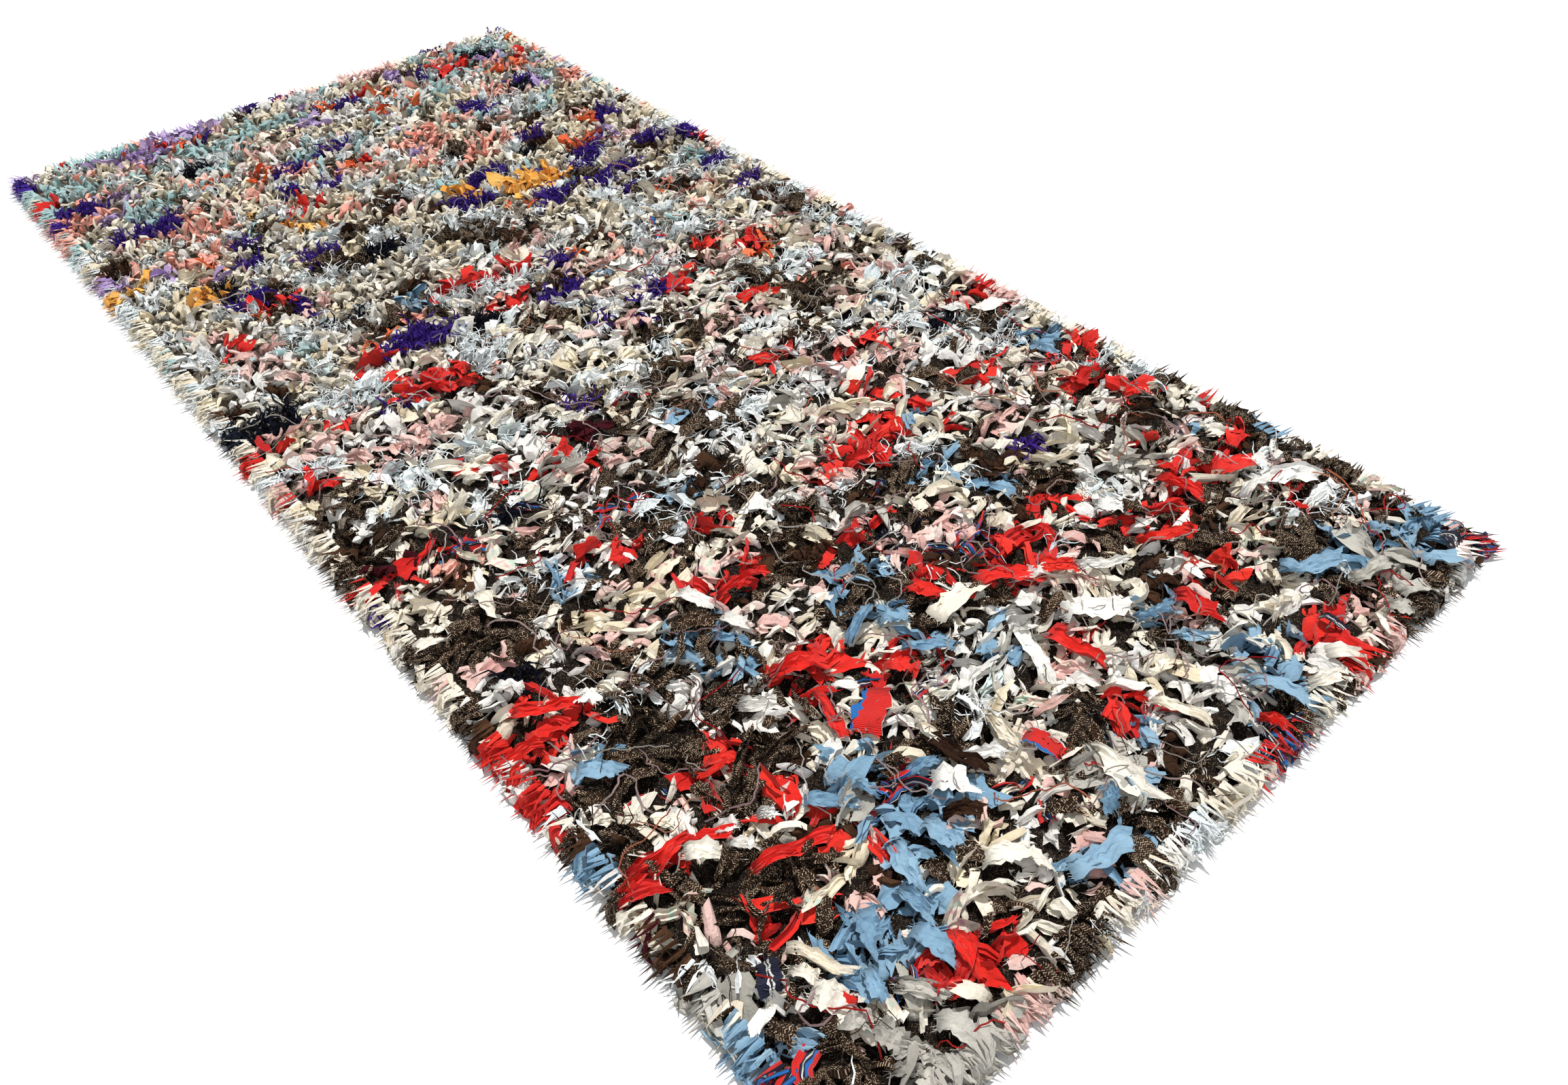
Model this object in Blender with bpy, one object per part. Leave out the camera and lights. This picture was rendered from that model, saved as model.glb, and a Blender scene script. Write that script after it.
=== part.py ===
"""Boucherouite rug: a woven ground cloth with a deep pile of knotted rag strips, lying flat.

Metres, +Z up. X runs across the rug along its weft, Y along its warp, from the near end to the far end.
The origin is on the surface the rug lies on, below the middle of the rug.
"""

import math
import random

import bmesh
import bpy
from mathutils import Vector, noise

# Driving dimensions
RUG_WIDTH = 1.400
RUG_LENGTH = 2.910
RIM_REACH = 0.040
GROUND_THICKNESS = 0.003
GROUND_INSET = 0.012
SEAT_GAP = 0.0003

# Pile heights, measured above the floor
PILE_NEAR = 0.035
PILE_FAR = 0.043
PILE_RIM = 0.024
PILE_LOWEST = 0.019
PILE_HIGHEST = 0.060
EDGE_FALL = 0.075

# Lumps of the pile: broad swells, knot rows and single tufts
SWELL_LENGTH = 0.30
SWELL_RISE = 0.006
ROW_RISE = 0.004
TUFT_RISE = 0.011
TUFT_SHIFT = 0.007
CELLS_ACROSS = 40
CELLS_ALONG = 84

# Rim locks: a root on the pile's side, a waist that rests on the floor, and a point
LOCK_SHORTEST = 0.62
LOCK_LONGEST = 0.97
LOCK_WAIST_AT = 0.50
LOCK_WAIST_WIDTH = 0.60
LOCK_WAIST_RISE = 0.010
LOCK_TIP_RISE = 0.003
LOCK_SWING = math.radians(11.0)
CORNER_FAN = math.radians(34.0)
CORNER_FAN_SPAN = 0.11

SEED = 23

BODY_WIDTH = RUG_WIDTH - 2 * RIM_REACH
BODY_LENGTH = RUG_LENGTH - 2 * RIM_REACH
PILE_BOTTOM = GROUND_THICKNESS + SEAT_GAP


def clear_scene():
    for obj in list(bpy.data.objects):
        bpy.data.objects.remove(obj, do_unlink=True)


def fabric(name, colour, roughness):
    material = bpy.data.materials.new(name)
    material.use_nodes = True
    shader = material.node_tree.nodes["Principled BSDF"]
    shader.inputs["Base Color"].default_value = (*colour, 1.0)
    shader.inputs["Roughness"].default_value = roughness
    shader.inputs["Metallic"].default_value = 0.0
    return material


def add_object(name, bm, collection, material):
    mesh = bpy.data.meshes.new(name)
    bm.normal_update()
    bm.to_mesh(mesh)
    bm.free()
    mesh.materials.append(material)
    obj = bpy.data.objects.new(name, mesh)
    collection.objects.link(obj)
    return obj


def woven_ground(collection):
    """The plain woven cloth that the rags are knotted into, a little smaller than the pile."""
    bm = bmesh.new()
    bmesh.ops.create_cube(bm, size=1.0)
    size = Vector((BODY_WIDTH - 2 * GROUND_INSET, BODY_LENGTH - 2 * GROUND_INSET, GROUND_THICKNESS))
    bmesh.ops.scale(bm, vec=size, verts=bm.verts)
    bmesh.ops.translate(bm, vec=(0.0, 0.0, GROUND_THICKNESS / 2), verts=bm.verts)
    material = fabric("undyed_wool_and_cotton", (0.42, 0.36, 0.29), 0.95)
    return add_object("woven_ground", bm, collection, material)


def pile_height(x, y, row, chance):
    """Height of the pile's top: taller and more upright at the far end, falling off at the rim."""
    share = 0.5 + y / BODY_LENGTH
    height = PILE_NEAR + (PILE_FAR - PILE_NEAR) * share
    height += SWELL_RISE * noise.noise(Vector((x, y, 0.0)) / SWELL_LENGTH)
    height += ROW_RISE * (1 if row % 2 else -1)
    height += TUFT_RISE * chance.uniform(-1.0, 1.0)
    from_edge = min(BODY_WIDTH / 2 - abs(x), BODY_LENGTH / 2 - abs(y))
    inside = math.sin(min(1.0, from_edge / EDGE_FALL) * math.pi / 2)
    height = PILE_RIM + (height - PILE_RIM) * inside
    return min(PILE_HIGHEST, max(PILE_LOWEST, height))


def lumpy_slab(chance):
    """A closed slab with a tufted top, one top point for each knotted bunch, and a flat bottom."""
    bm = bmesh.new()
    bmesh.ops.create_grid(bm, x_segments=CELLS_ACROSS, y_segments=CELLS_ALONG, size=0.5)
    bmesh.ops.scale(bm, vec=(BODY_WIDTH, BODY_LENGTH, 1.0), verts=bm.verts)
    row_pitch = BODY_LENGTH / CELLS_ALONG
    for vert in bm.verts:
        x, y, _ = vert.co
        row = round((y + BODY_LENGTH / 2) / row_pitch)
        vert.co.z = pile_height(x, y, row, chance)
        if not vert.is_boundary:
            vert.co.x += TUFT_SHIFT * chance.uniform(-1.0, 1.0)
            vert.co.y += TUFT_SHIFT * chance.uniform(-1.0, 1.0)
    rim = [edge for edge in bm.edges if edge.is_boundary]
    skirt = bmesh.ops.extrude_edge_only(bm, edges=rim)["geom"]
    for vert in (item for item in skirt if isinstance(item, bmesh.types.BMVert)):
        vert.co.z = PILE_BOTTOM
    sides = [item for item in skirt if isinstance(item, bmesh.types.BMFace)]
    bmesh.ops.contextual_create(bm, geom=[edge for edge in bm.edges if edge.is_boundary])
    bmesh.ops.recalc_face_normals(bm, faces=bm.faces)
    return bm, sides


def lock_direction(middle, outward, chance):
    """Outward from the pile's side with a small swing, fanned open towards the rug's corners."""
    along = Vector((-outward.y, outward.x, 0.0))
    half_side = abs(along.x) * BODY_WIDTH / 2 + abs(along.y) * BODY_LENGTH / 2
    place = middle.dot(along)
    from_corner = half_side - abs(place)
    fan = CORNER_FAN * max(0.0, 1.0 - from_corner / CORNER_FAN_SPAN)
    turn = math.copysign(fan, place) + chance.uniform(-LOCK_SWING, LOCK_SWING)
    return outward * math.cos(turn) + along * math.sin(turn)


def longest_of_each_side(sides):
    """The middle lock of each side has the full reach, so that the rug keeps its size."""
    ways = ((1, 0), (-1, 0), (0, 1), (0, -1))
    found = set()
    for way in ways:
        outward = Vector((*way, 0.0))
        facing = [face for face in sides if face.normal.dot(outward) > 0.9]
        found.add(min(facing, key=lambda face: face.calc_center_median().cross(outward).length))
    return found


def grow_locks(bm, sides, chance):
    """Each side face becomes one pointed lock: its waist lies on the floor and its tip just above."""
    roots = bmesh.ops.extrude_discrete_faces(bm, faces=sides)["faces"]
    bm.normal_update()
    longest = longest_of_each_side(roots)
    for face in roots:
        outward = Vector((round(face.normal.x), round(face.normal.y), 0.0))
        way, reach = outward, RIM_REACH
        if face not in longest:
            way = lock_direction(face.calc_center_median(), outward, chance)
            reach = RIM_REACH * chance.uniform(LOCK_SHORTEST, LOCK_LONGEST)
        shape_waist(face, outward, way, reach)
        tip = bmesh.ops.poke(bm, faces=[face])["verts"][0]
        tip.co += way * reach * (1.0 - LOCK_WAIST_AT) / way.dot(outward)
        tip.co.z = LOCK_TIP_RISE


def shape_waist(face, outward, way, reach):
    """Moves a lock's waist out along its way, narrows it and sets it down on the floor."""
    middle = face.calc_center_median()
    along = Vector((-outward.y, outward.x, 0.0))
    step = way * reach * LOCK_WAIST_AT / way.dot(outward)
    for vert in face.verts:
        across = (vert.co - middle).dot(along)
        top = vert.co.z > middle.z
        vert.co += step - along * across * (1.0 - LOCK_WAIST_WIDTH)
        vert.co.z = LOCK_WAIST_RISE if top else 0.0


def rag_pile(collection):
    """All the knotted rag strips as one lumpy slab, with pointed locks round its rim."""
    chance = random.Random(SEED)
    bm, sides = lumpy_slab(chance)
    grow_locks(bm, sides, chance)
    bmesh.ops.recalc_face_normals(bm, faces=bm.faces)
    material = fabric("mixed_rag_strips", (0.62, 0.55, 0.49), 0.9)
    return add_object("rag_pile", bm, collection, material)


def main():
    clear_scene()
    collection = bpy.data.collections.new("boucherouite_rug")
    bpy.context.scene.collection.children.link(collection)
    woven_ground(collection)
    rag_pile(collection)


main()
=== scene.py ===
# %% [markdown]
# A boucherouite is a rag rug. Strips torn from worn clothes are knotted, row after row, into a plain
# woven ground, and their free ends stand up or lie down as a deep, ragged pile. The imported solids
# give its size: a thin ground and a lumpy slab with a rim of locks. This lesson fills the space of
# that slab with thousands of cloth strips, knit rolls, yarn tufts and loose threads.

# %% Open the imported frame
from collections import namedtuple

import bpy
import numpy as np
from mathutils import Matrix, Vector
from mathutils.bvhtree import BVHTree


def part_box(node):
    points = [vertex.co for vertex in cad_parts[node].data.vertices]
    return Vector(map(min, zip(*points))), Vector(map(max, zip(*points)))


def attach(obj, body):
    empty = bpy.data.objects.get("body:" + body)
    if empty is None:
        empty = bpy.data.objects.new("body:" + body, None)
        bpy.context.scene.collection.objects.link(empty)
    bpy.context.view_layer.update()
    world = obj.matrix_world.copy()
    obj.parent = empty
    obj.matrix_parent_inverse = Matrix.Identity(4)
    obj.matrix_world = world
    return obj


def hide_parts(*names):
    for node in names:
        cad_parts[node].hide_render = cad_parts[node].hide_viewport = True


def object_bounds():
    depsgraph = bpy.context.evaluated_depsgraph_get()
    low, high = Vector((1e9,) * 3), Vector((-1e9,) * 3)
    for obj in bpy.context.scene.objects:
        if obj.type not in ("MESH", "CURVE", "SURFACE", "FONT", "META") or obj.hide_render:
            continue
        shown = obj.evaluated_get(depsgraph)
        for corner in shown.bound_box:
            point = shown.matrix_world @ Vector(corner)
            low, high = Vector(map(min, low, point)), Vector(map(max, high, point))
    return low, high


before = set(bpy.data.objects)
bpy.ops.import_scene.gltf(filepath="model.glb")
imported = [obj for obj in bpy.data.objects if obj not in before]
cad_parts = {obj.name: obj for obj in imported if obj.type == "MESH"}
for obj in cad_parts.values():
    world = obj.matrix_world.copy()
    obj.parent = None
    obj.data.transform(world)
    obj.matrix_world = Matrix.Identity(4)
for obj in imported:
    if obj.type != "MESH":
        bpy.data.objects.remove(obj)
cad_box = [list(corner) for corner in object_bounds()]
MM = 0.001
chance = np.random.default_rng(41)
print("CAD box", cad_box)

# %% [markdown]
# The camera stands at the near-left corner of the rug and looks down along its length. Its place
# and lens were worked out from the rug's four straight sides, so the corners fall where they do
# in the photograph. Its turn is given by two directions, which is easier to read than three angles.

# %% Camera
CAMERA_PLACE = Vector((-0.920, -1.644, 1.250))
SIGHT = Vector((0.4575, 0.5424, -0.7046)).normalized()
PICTURE_UP = Vector((0.4774, 0.5187, 0.7093))
LENS_MM = 25.957
SENSOR_MM = 36.0


def add_camera():
    """A camera whose own X, Y and Z are the picture's right, its top and the way back to the eye."""
    data = bpy.data.cameras.new("photo_camera")
    data.lens = LENS_MM
    data.sensor_width = SENSOR_MM
    camera = bpy.data.objects.new("photo_camera", data)
    right = SIGHT.cross(PICTURE_UP).normalized()
    top = right.cross(SIGHT)
    turn = Matrix((right, top, -SIGHT)).transposed().to_4x4()
    camera.matrix_world = Matrix.Translation(CAMERA_PLACE) @ turn
    bpy.context.scene.collection.objects.link(camera)
    bpy.context.scene.camera = camera
    return camera


print("camera", add_camera().matrix_world.translation)

# %% [markdown]
# The pile was photographed in high light from the far end, which falls towards the eye: each strip
# is bright on top and drops a dark gap behind it. One lamp does that here. Thin cotton also lets
# some of that light through, towards the camera; a broad weak lamp from the camera's side stands in
# for it. A pale world fills the shadows, and the floor is white, so the ragged rim stands clear.

# %% Floor and light
FLOOR_SIZE = 14.0
FLOOR_DROP = 0.4 * MM
LAMP_FROM = Vector((0.32, 0.45, 1.50))
LAMP_POWER = 3.3
FILL_FROM = Vector((-0.35, -0.60, 0.75))
FILL_POWER = 0.62
WORLD_POWER = 0.32


def add_floor():
    mesh = bpy.data.meshes.new("floor")
    half = FLOOR_SIZE / 2
    corners = [(-half, -half), (half, -half), (half, half), (-half, half)]
    mesh.from_pydata([(x, y, -FLOOR_DROP) for x, y in corners], [], [(0, 1, 2, 3)])
    floor = bpy.data.objects.new("floor", mesh)
    bpy.context.scene.collection.objects.link(floor)
    paper = bpy.data.materials.new("floor_paper")
    paper.use_nodes = True
    shader = paper.node_tree.nodes["Principled BSDF"]
    shader.inputs["Base Color"].default_value = (0.9, 0.9, 0.9, 1.0)
    shader.inputs["Roughness"].default_value = 0.9
    mesh.materials.append(paper)
    return floor


def add_lamp(name, comes_from, power, softness, colour):
    """A lamp so far off that only its direction counts; softness is how wide it looks, in radians."""
    lamp = bpy.data.lights.new(name, "SUN")
    lamp.energy = power
    lamp.angle = softness
    lamp.color = colour
    holder = bpy.data.objects.new(name, lamp)
    holder.rotation_euler = comes_from.to_track_quat("Z", "Y").to_euler()
    bpy.context.scene.collection.objects.link(holder)


def add_world():
    world = bpy.data.worlds.new("studio")
    world.use_nodes = True
    world.node_tree.nodes["Background"].inputs["Color"].default_value = (0.93, 0.96, 1.0, 1.0)
    world.node_tree.nodes["Background"].inputs["Strength"].default_value = WORLD_POWER
    bpy.context.scene.world = world
    bpy.context.scene.view_settings.view_transform = "Standard"


add_floor()
add_lamp("window_light", LAMP_FROM, LAMP_POWER, 0.05, (1.0, 0.985, 0.96))
add_lamp("soft_fill", FILL_FROM, FILL_POWER, 1.0, (0.96, 0.98, 1.0))
add_world()
print("floor", FLOOR_SIZE, "m wide; lamp from", tuple(LAMP_FROM))

# %% [markdown]
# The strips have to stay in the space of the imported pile, so its top is read once. Rays cast down
# on it every centimetre give a map of heights, and any point's height is then read between four of
# the map's points. Outside the slab the same map falls away over the rim's locks to the floor.

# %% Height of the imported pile
MAP_STEP = 10 * MM
pile_low, pile_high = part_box("rag_pile")
MAP_X = np.arange(pile_low[0] - 0.02, pile_high[0] + 0.03, MAP_STEP)
MAP_Y = np.arange(pile_low[1] - 0.02, pile_high[1] + 0.03, MAP_STEP)


def read_heights():
    """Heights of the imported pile's top on the map's points, smoothed a little."""
    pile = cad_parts["rag_pile"]
    tree = BVHTree.FromObject(pile, bpy.context.evaluated_depsgraph_get())
    heights = np.zeros((len(MAP_X), len(MAP_Y)))
    down = Vector((0.0, 0.0, -1.0))
    for i, x in enumerate(MAP_X):
        for j, y in enumerate(MAP_Y):
            hit = tree.ray_cast(Vector((x, y, 1.0)), down)[0]
            heights[i, j] = hit.z if hit else 0.0
    for _ in range(2):
        padded = np.pad(heights, 1, mode="edge")
        around = padded[:-2, 1:-1] + padded[2:, 1:-1] + padded[1:-1, :-2] + padded[1:-1, 2:]
        heights = 0.5 * heights + 0.125 * around
    return heights


heights = read_heights()


def pile_top(x, y):
    """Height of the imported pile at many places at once."""
    u = np.clip((x - MAP_X[0]) / MAP_STEP, 0, len(MAP_X) - 1.001)
    v = np.clip((y - MAP_Y[0]) / MAP_STEP, 0, len(MAP_Y) - 1.001)
    i, j = u.astype(int), v.astype(int)
    p, q = u - i, v - j
    left = heights[i, j] * (1 - q) + heights[i, j + 1] * q
    right = heights[i + 1, j] * (1 - q) + heights[i + 1, j + 1] * q
    return left * (1 - p) + right * p


print("mean height of the packed pile", round(float(heights[heights > 0.01].mean()), 4))

# %% [markdown]
# Rag strips come from whatever was worn out: cream and white cotton, red and blue shirts, brown
# marl jumpers, pink jersey, gauze, and leftover yarn. The weaver used each one up before taking the
# next, so a colour lies in runs along the rows. The lighter, curlier rags of the far half give way
# to larger and bolder scraps near the camera. The background below gives each cloth its share in
# four zones of the rug, and the patches say where a cloth stands out.

# %% Shares of each cloth
Share = namedtuple("Share", "near middle upper far")
ZONE_Y = (-1.00, -0.10, 0.55, 1.20)
BACKGROUND = {
    "cream_cotton": Share(26, 30, 24, 16),
    "ecru_cotton": Share(7, 14, 26, 14),
    "white_cotton": Share(17, 13, 9, 9),
    "grey_gauze": Share(2, 20, 18, 16),
    "marl_knit": Share(23, 6, 4, 1),
    "brown_yarn": Share(6, 2, 5, 2),
    "red_cotton": Share(3.5, 2, 0, 0.6),
    "blue_poplin": Share(2.5, 0.5, 0, 0),
    "pink_jersey": Share(8, 16, 4, 6),
    "coral_cotton": Share(0, 1, 4, 12),
    "mint_fleece": Share(0, 0, 4, 20),
    "lilac_cotton": Share(0, 0, 1, 6),
    "violet_yarn": Share(0, 1, 3, 2),
    "navy_yarn": Share(0.6, 1.5, 2.5, 1),
    "orange_cotton": Share(0, 0.5, 1.5, 3),
    "printed_cotton": Share(4, 2, 0, 0),
    "grey_linen": Share(2, 0, 0, 0),
    "striped_rib": Share(1.6, 0.5, 0, 0),
}
CLOTHS = list(BACKGROUND) + ["gold_tulle", "maroon_knit"]

# %% Patches where one cloth stands out
SMALL = (0.030, 0.017)
MEDIUM = (0.046, 0.025)
LARGE = (0.078, 0.036)
PATCHES = {
    "red_cotton": {
        LARGE: ((0.13, -0.61), (-0.60, -0.74), (0.12, -0.95), (0.46, -1.03), (-0.31, 0.04)),
        MEDIUM: (
            (0.53, -0.75), (0.61, -0.68), (-0.66, -0.83), (-0.22, -0.70), (-0.26, -0.89),
            (0.24, -0.93), (-0.45, -0.93), (-0.60, -1.01), (-0.52, -1.17), (-0.41, -1.33),
            (0.30, -1.17), (0.20, 0.00), (0.41, 0.03), (0.40, 1.26), (0.06, -0.62),
        ),
        SMALL: (
            (-0.36, -0.51), (0.25, -0.52), (0.33, -0.66), (0.58, -0.82), (-0.04, -0.76),
            (-0.03, -0.89), (0.45, -0.92), (0.62, -0.94), (0.57, -1.05), (0.35, -1.07),
            (-0.44, -1.08), (-0.15, -0.98), (0.07, -1.12), (0.66, -1.35), (-0.64, 0.05),
            (-0.49, 0.05), (-0.37, 0.18), (-0.08, 0.17), (-0.62, -0.09), (-0.38, -0.24),
            (0.19, -0.34), (-0.27, -0.31), (0.68, 0.18), (-0.53, 1.42), (0.57, 1.22),
            (0.15, 1.28), (-0.62, 1.22), (-0.35, 1.35), (0.66, 0.86), (-0.22, 0.81),
            (0.00, 0.95), (-0.42, 0.48),
        ),
    },
    "blue_poplin": {
        LARGE: ((-0.32, -1.17), (-0.45, -1.25), (0.60, -1.33)),
        MEDIUM: (
            (-0.35, -0.74), (-0.56, -0.84), (-0.12, -0.89), (-0.35, -1.06), (0.17, -0.72),
            (0.19, -1.16), (-0.19, -1.35), (0.20, -1.35), (0.46, -1.27), (0.57, -0.61),
        ),
        SMALL: (
            (-0.14, -0.51), (-0.34, -0.83), (-0.09, -0.98), (-0.26, -1.11), (-0.03, -1.06),
            (-0.07, -1.31), (-0.18, -1.43), (0.54, -0.93), (-0.66, -1.24), (0.00, -0.34),
        ),
    },
    "marl_knit": {
        LARGE: ((-0.50, -0.86), (-0.52, -1.12), (-0.55, -0.55), (0.45, -1.22), (0.38, -0.20)),
        MEDIUM: (
            (-0.10, -0.57), (-0.38, -0.95), (-0.25, -1.10), (0.37, -1.12), (0.35, -0.88),
            (0.28, -1.21), (0.56, -1.01), (0.01, -0.22), (0.00, -0.37), (-0.65, -0.30),
            (0.08, -0.09), (-0.05, -0.66), (0.62, -0.86),
        ),
    },
    "brown_yarn": {
        MEDIUM: (
            (-0.12, -0.75), (0.26, -0.78), (0.55, -0.86), (-0.26, -0.02), (-0.54, -0.44),
            (0.20, 0.25), (-0.20, 0.35), (0.15, 0.74), (0.36, 0.72), (-0.05, 0.73),
        ),
        SMALL: ((0.06, 1.05), (-0.18, 0.65), (-0.60, 0.84), (0.32, 1.30), (-0.42, 1.22), (0.56, 0.64)),
    },
    "pink_jersey": {
        LARGE: ((0.06, -0.85), (-0.45, -0.10), (0.20, -0.17)),
        MEDIUM: (
            (-0.43, -0.67), (-0.38, -1.37), (-0.41, -1.42), (0.24, -0.36), (-0.15, -0.36),
            (0.36, -0.46), (0.66, -0.38),
        ),
        SMALL: ((0.17, -0.52), (0.34, -0.72), (0.37, -1.40), (0.57, -1.25)),
    },
    "grey_gauze": {
        LARGE: (
            (-0.47, -0.13), (0.43, -0.10), (0.63, -0.05), (0.44, -0.39), (-0.18, 0.10),
            (-0.45, 0.10), (0.36, 0.16),
        ),
        MEDIUM: ((0.52, -0.28), (-0.24, 0.67), (0.50, -0.48)),
    },
    "white_cotton": {
        LARGE: ((0.08, -1.28), (0.40, -0.66)),
        MEDIUM: ((0.44, -0.33), (0.36, -0.98), (0.02, -1.05), (-0.20, -0.80)),
    },
    "coral_cotton": {
        LARGE: ((0.13, 0.93), (-0.42, 0.87), (0.26, 0.81)),
        MEDIUM: ((-0.25, 0.96), (-0.14, 0.98), (-0.43, 0.95), (0.41, 1.06), (0.63, 1.02)),
        SMALL: ((-0.64, 1.02), (-0.37, 1.15), (0.44, 0.03)),
    },
    "violet_yarn": {
        LARGE: ((-0.49, 0.95), (-0.25, 0.18)),
        MEDIUM: (
            (-0.08, 1.43), (0.00, 1.42), (0.42, 1.43), (0.62, 1.42),
            (0.34, 0.99), (0.07, 0.57), (0.40, 0.59), (0.22, 0.47), (-0.45, 0.53), (0.02, 0.13),
            (0.16, 0.02),
        ),
        SMALL: (
            (-0.66, 1.10), (-0.04, 1.04), (-0.13, 0.87), (0.33, 0.75), (0.34, 0.54),
            (0.55, 0.55), (-0.37, 0.78), (0.06, 0.24), (0.35, 0.37), (0.55, 0.00), (0.58, 0.23),
        ),
    },
    "gold_tulle": {
        LARGE: ((0.23, 0.56),),
        MEDIUM: ((-0.63, 0.72), (-0.53, 0.60), (0.07, 0.62)),
        SMALL: ((-0.30, 0.84), (-0.24, 0.74)),
    },
    "lilac_cotton": {
        LARGE: ((-0.27, 1.38), (-0.40, 1.32)),
        MEDIUM: ((-0.32, 1.43), (-0.20, 1.42), (0.22, 1.43)),
    },
    "orange_cotton": {
        SMALL: ((0.22, 1.26), (0.47, 1.17), (0.16, 1.17), (-0.42, 1.35), (0.12, 0.24), (0.40, -0.02)),
    },
    "mint_fleece": {
        LARGE: ((-0.25, 1.25), (0.40, 1.22), (-0.62, 1.30), (-0.56, 1.24), (-0.12, 1.28), (0.50, 1.34)),
        MEDIUM: ((0.30, 1.15), (0.57, 1.35), (-0.42, 1.22), (-0.66, 1.18)),
    },
    "navy_yarn": {
        LARGE: ((-0.60, 0.13),),
        MEDIUM: ((-0.18, 0.52), (0.49, 1.30), (-0.17, 0.14)),
        SMALL: ((-0.40, -0.355), (0.62, 0.47)),
    },
    "striped_rib": {
        MEDIUM: ((-0.50, -0.355), (-0.26, -0.45), (-0.62, -1.29), (0.12, -1.40), (0.66, -1.41)),
        SMALL: ((-0.20, -1.24), (-0.32, -1.12), (-0.14, -1.03), (-0.24, -1.00)),
    },
    "grey_linen": {LARGE: ((-0.51, -1.38), (-0.49, -1.43)), MEDIUM: ((-0.66, -1.17), (0.51, -1.34))},
    "maroon_knit": {MEDIUM: ((-0.18, -0.25),), SMALL: ((-0.66, -1.07), (-0.60, -0.33))},
}
print(len(CLOTHS), "cloths,", sum(len(p) for c in PATCHES.values() for p in c.values()), "patches")

# %% [markdown]
# Which cloth a knot takes is decided in two steps. Points scattered over the rug each draw a cloth
# from the shares of their zone, and a knot first takes the cloth of the nearest point. Distances
# along a row count for less, so the runs come out long and thin. A patch then wins over that
# wherever a knot falls inside its oval, and a smooth wander of the places keeps its edge ragged.

# %% Choose the cloth of every place
RUN_LONG = 0.052
RUN_DEEP = 0.027
SCATTER = 2300
WANDER_SIZE = 0.045
WANDER_REACH = 0.020
LATTICE = 128


def wander(x, y, size, salt):
    """Smooth noise from -1 to 1: chance values on a square lattice, blended between its points."""
    lattice = np.random.default_rng(salt).uniform(-1, 1, (LATTICE, LATTICE))
    u, v = x / size + LATTICE / 2, y / size + LATTICE / 2
    i, j = np.floor(u).astype(int), np.floor(v).astype(int)
    p, q = u - i, v - j
    p, q = p * p * (3 - 2 * p), q * q * (3 - 2 * q)
    i, j = i % (LATTICE - 1), j % (LATTICE - 1)
    left = lattice[i, j] * (1 - q) + lattice[i, j + 1] * q
    right = lattice[i + 1, j] * (1 - q) + lattice[i + 1, j + 1] * q
    return left * (1 - p) + right * p


def scattered_cloths():
    """Places over the rug and the cloth that each draws from its zone's shares."""
    x = chance.uniform(cad_box[0][0], cad_box[1][0], SCATTER)
    y = chance.uniform(cad_box[0][1], cad_box[1][1], SCATTER)
    shares = np.array([np.interp(y, ZONE_Y, share) for share in BACKGROUND.values()])
    ladder = np.cumsum(shares, axis=0) / shares.sum(axis=0)
    return x, y, (ladder < chance.uniform(size=SCATTER)).sum(axis=0)


SCATTER_X, SCATTER_Y, SCATTER_CLOTH = scattered_cloths()


def cloth_at(x, y):
    """The cloth of each place, as its number in CLOTHS."""
    x = x + WANDER_REACH * wander(x, y, WANDER_SIZE, 5)
    y = y + 0.6 * WANDER_REACH * wander(x, y, WANDER_SIZE, 6)
    apart = np.abs(x[:, None] - SCATTER_X) / RUN_LONG + np.abs(y[:, None] - SCATTER_Y) / RUN_DEEP
    found = SCATTER_CLOTH[np.argmin(apart, axis=1)]
    nearest = np.ones(len(x))
    for cloth, sizes in PATCHES.items():
        for (wide, deep), places in sizes.items():
            for patch_x, patch_y in places:
                inside = ((x - patch_x) / wide) ** 2 + ((y - patch_y) / deep) ** 2
                wins = inside < nearest
                found = np.where(wins, CLOTHS.index(cloth), found)
                nearest = np.where(wins, inside, nearest)
    return found


# %% [markdown]
# Every rag is a sweep: a centre line that leaves its knot, rises and falls over, with a cross
# section carried along it. Working on all strips of a cloth at once, as arrays, builds hundreds of
# thousands of faces in seconds, which one object for each strip would not. A bundle gathers the
# sweeps that become one piece, with each point's place on the cloth and a tint for each strip.

# %% Sweeps and bundles
class Bundle:
    """The points, faces, cloth coordinates and tints of all strips in one piece."""

    def __init__(self):
        self.points = []
        self.faces = []
        self.cloth = []
        self.tints = []
        self.count = 0

    def add(self, points, cloth, tint, closed=False):
        """Adds sweeps: points is strips x rings x columns x 3, cloth is the same x 2, tint is strips."""
        strips, rings, columns, _ = points.shape
        number = self.count + np.arange(strips * rings * columns).reshape(strips, rings, columns)
        here = number if closed else number[:, :, :-1]
        beside = np.roll(number, -1, axis=2) if closed else number[:, :, 1:]
        corners = (here[:, :-1], beside[:, :-1], beside[:, 1:], here[:, 1:])
        self.faces.append(np.stack(corners, axis=-1).reshape(-1, 4))
        self.points.append(points.reshape(-1, 3))
        self.cloth.append(cloth.reshape(-1, 2))
        self.tints.append(np.repeat(tint, rings * columns))
        self.count += points.size // 3


def centre_lines(root, heading, rise, long):
    """Centre lines from each root, where heading and rise are angles at every ring."""
    flat = np.cos(rise)
    ahead = np.stack([np.cos(heading) * flat, np.sin(heading) * flat, np.sin(rise)], axis=-1)
    steps = ahead[:, :-1] * (long / (heading.shape[1] - 1))[:, None, None]
    steps = np.concatenate([np.zeros_like(steps[:, :1]), np.cumsum(steps, axis=1)], axis=1)
    side = np.stack([-np.sin(heading), np.cos(heading), np.zeros_like(heading)], axis=-1)
    return root[:, None, :] + steps, ahead, side, np.cross(ahead, side)


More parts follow.
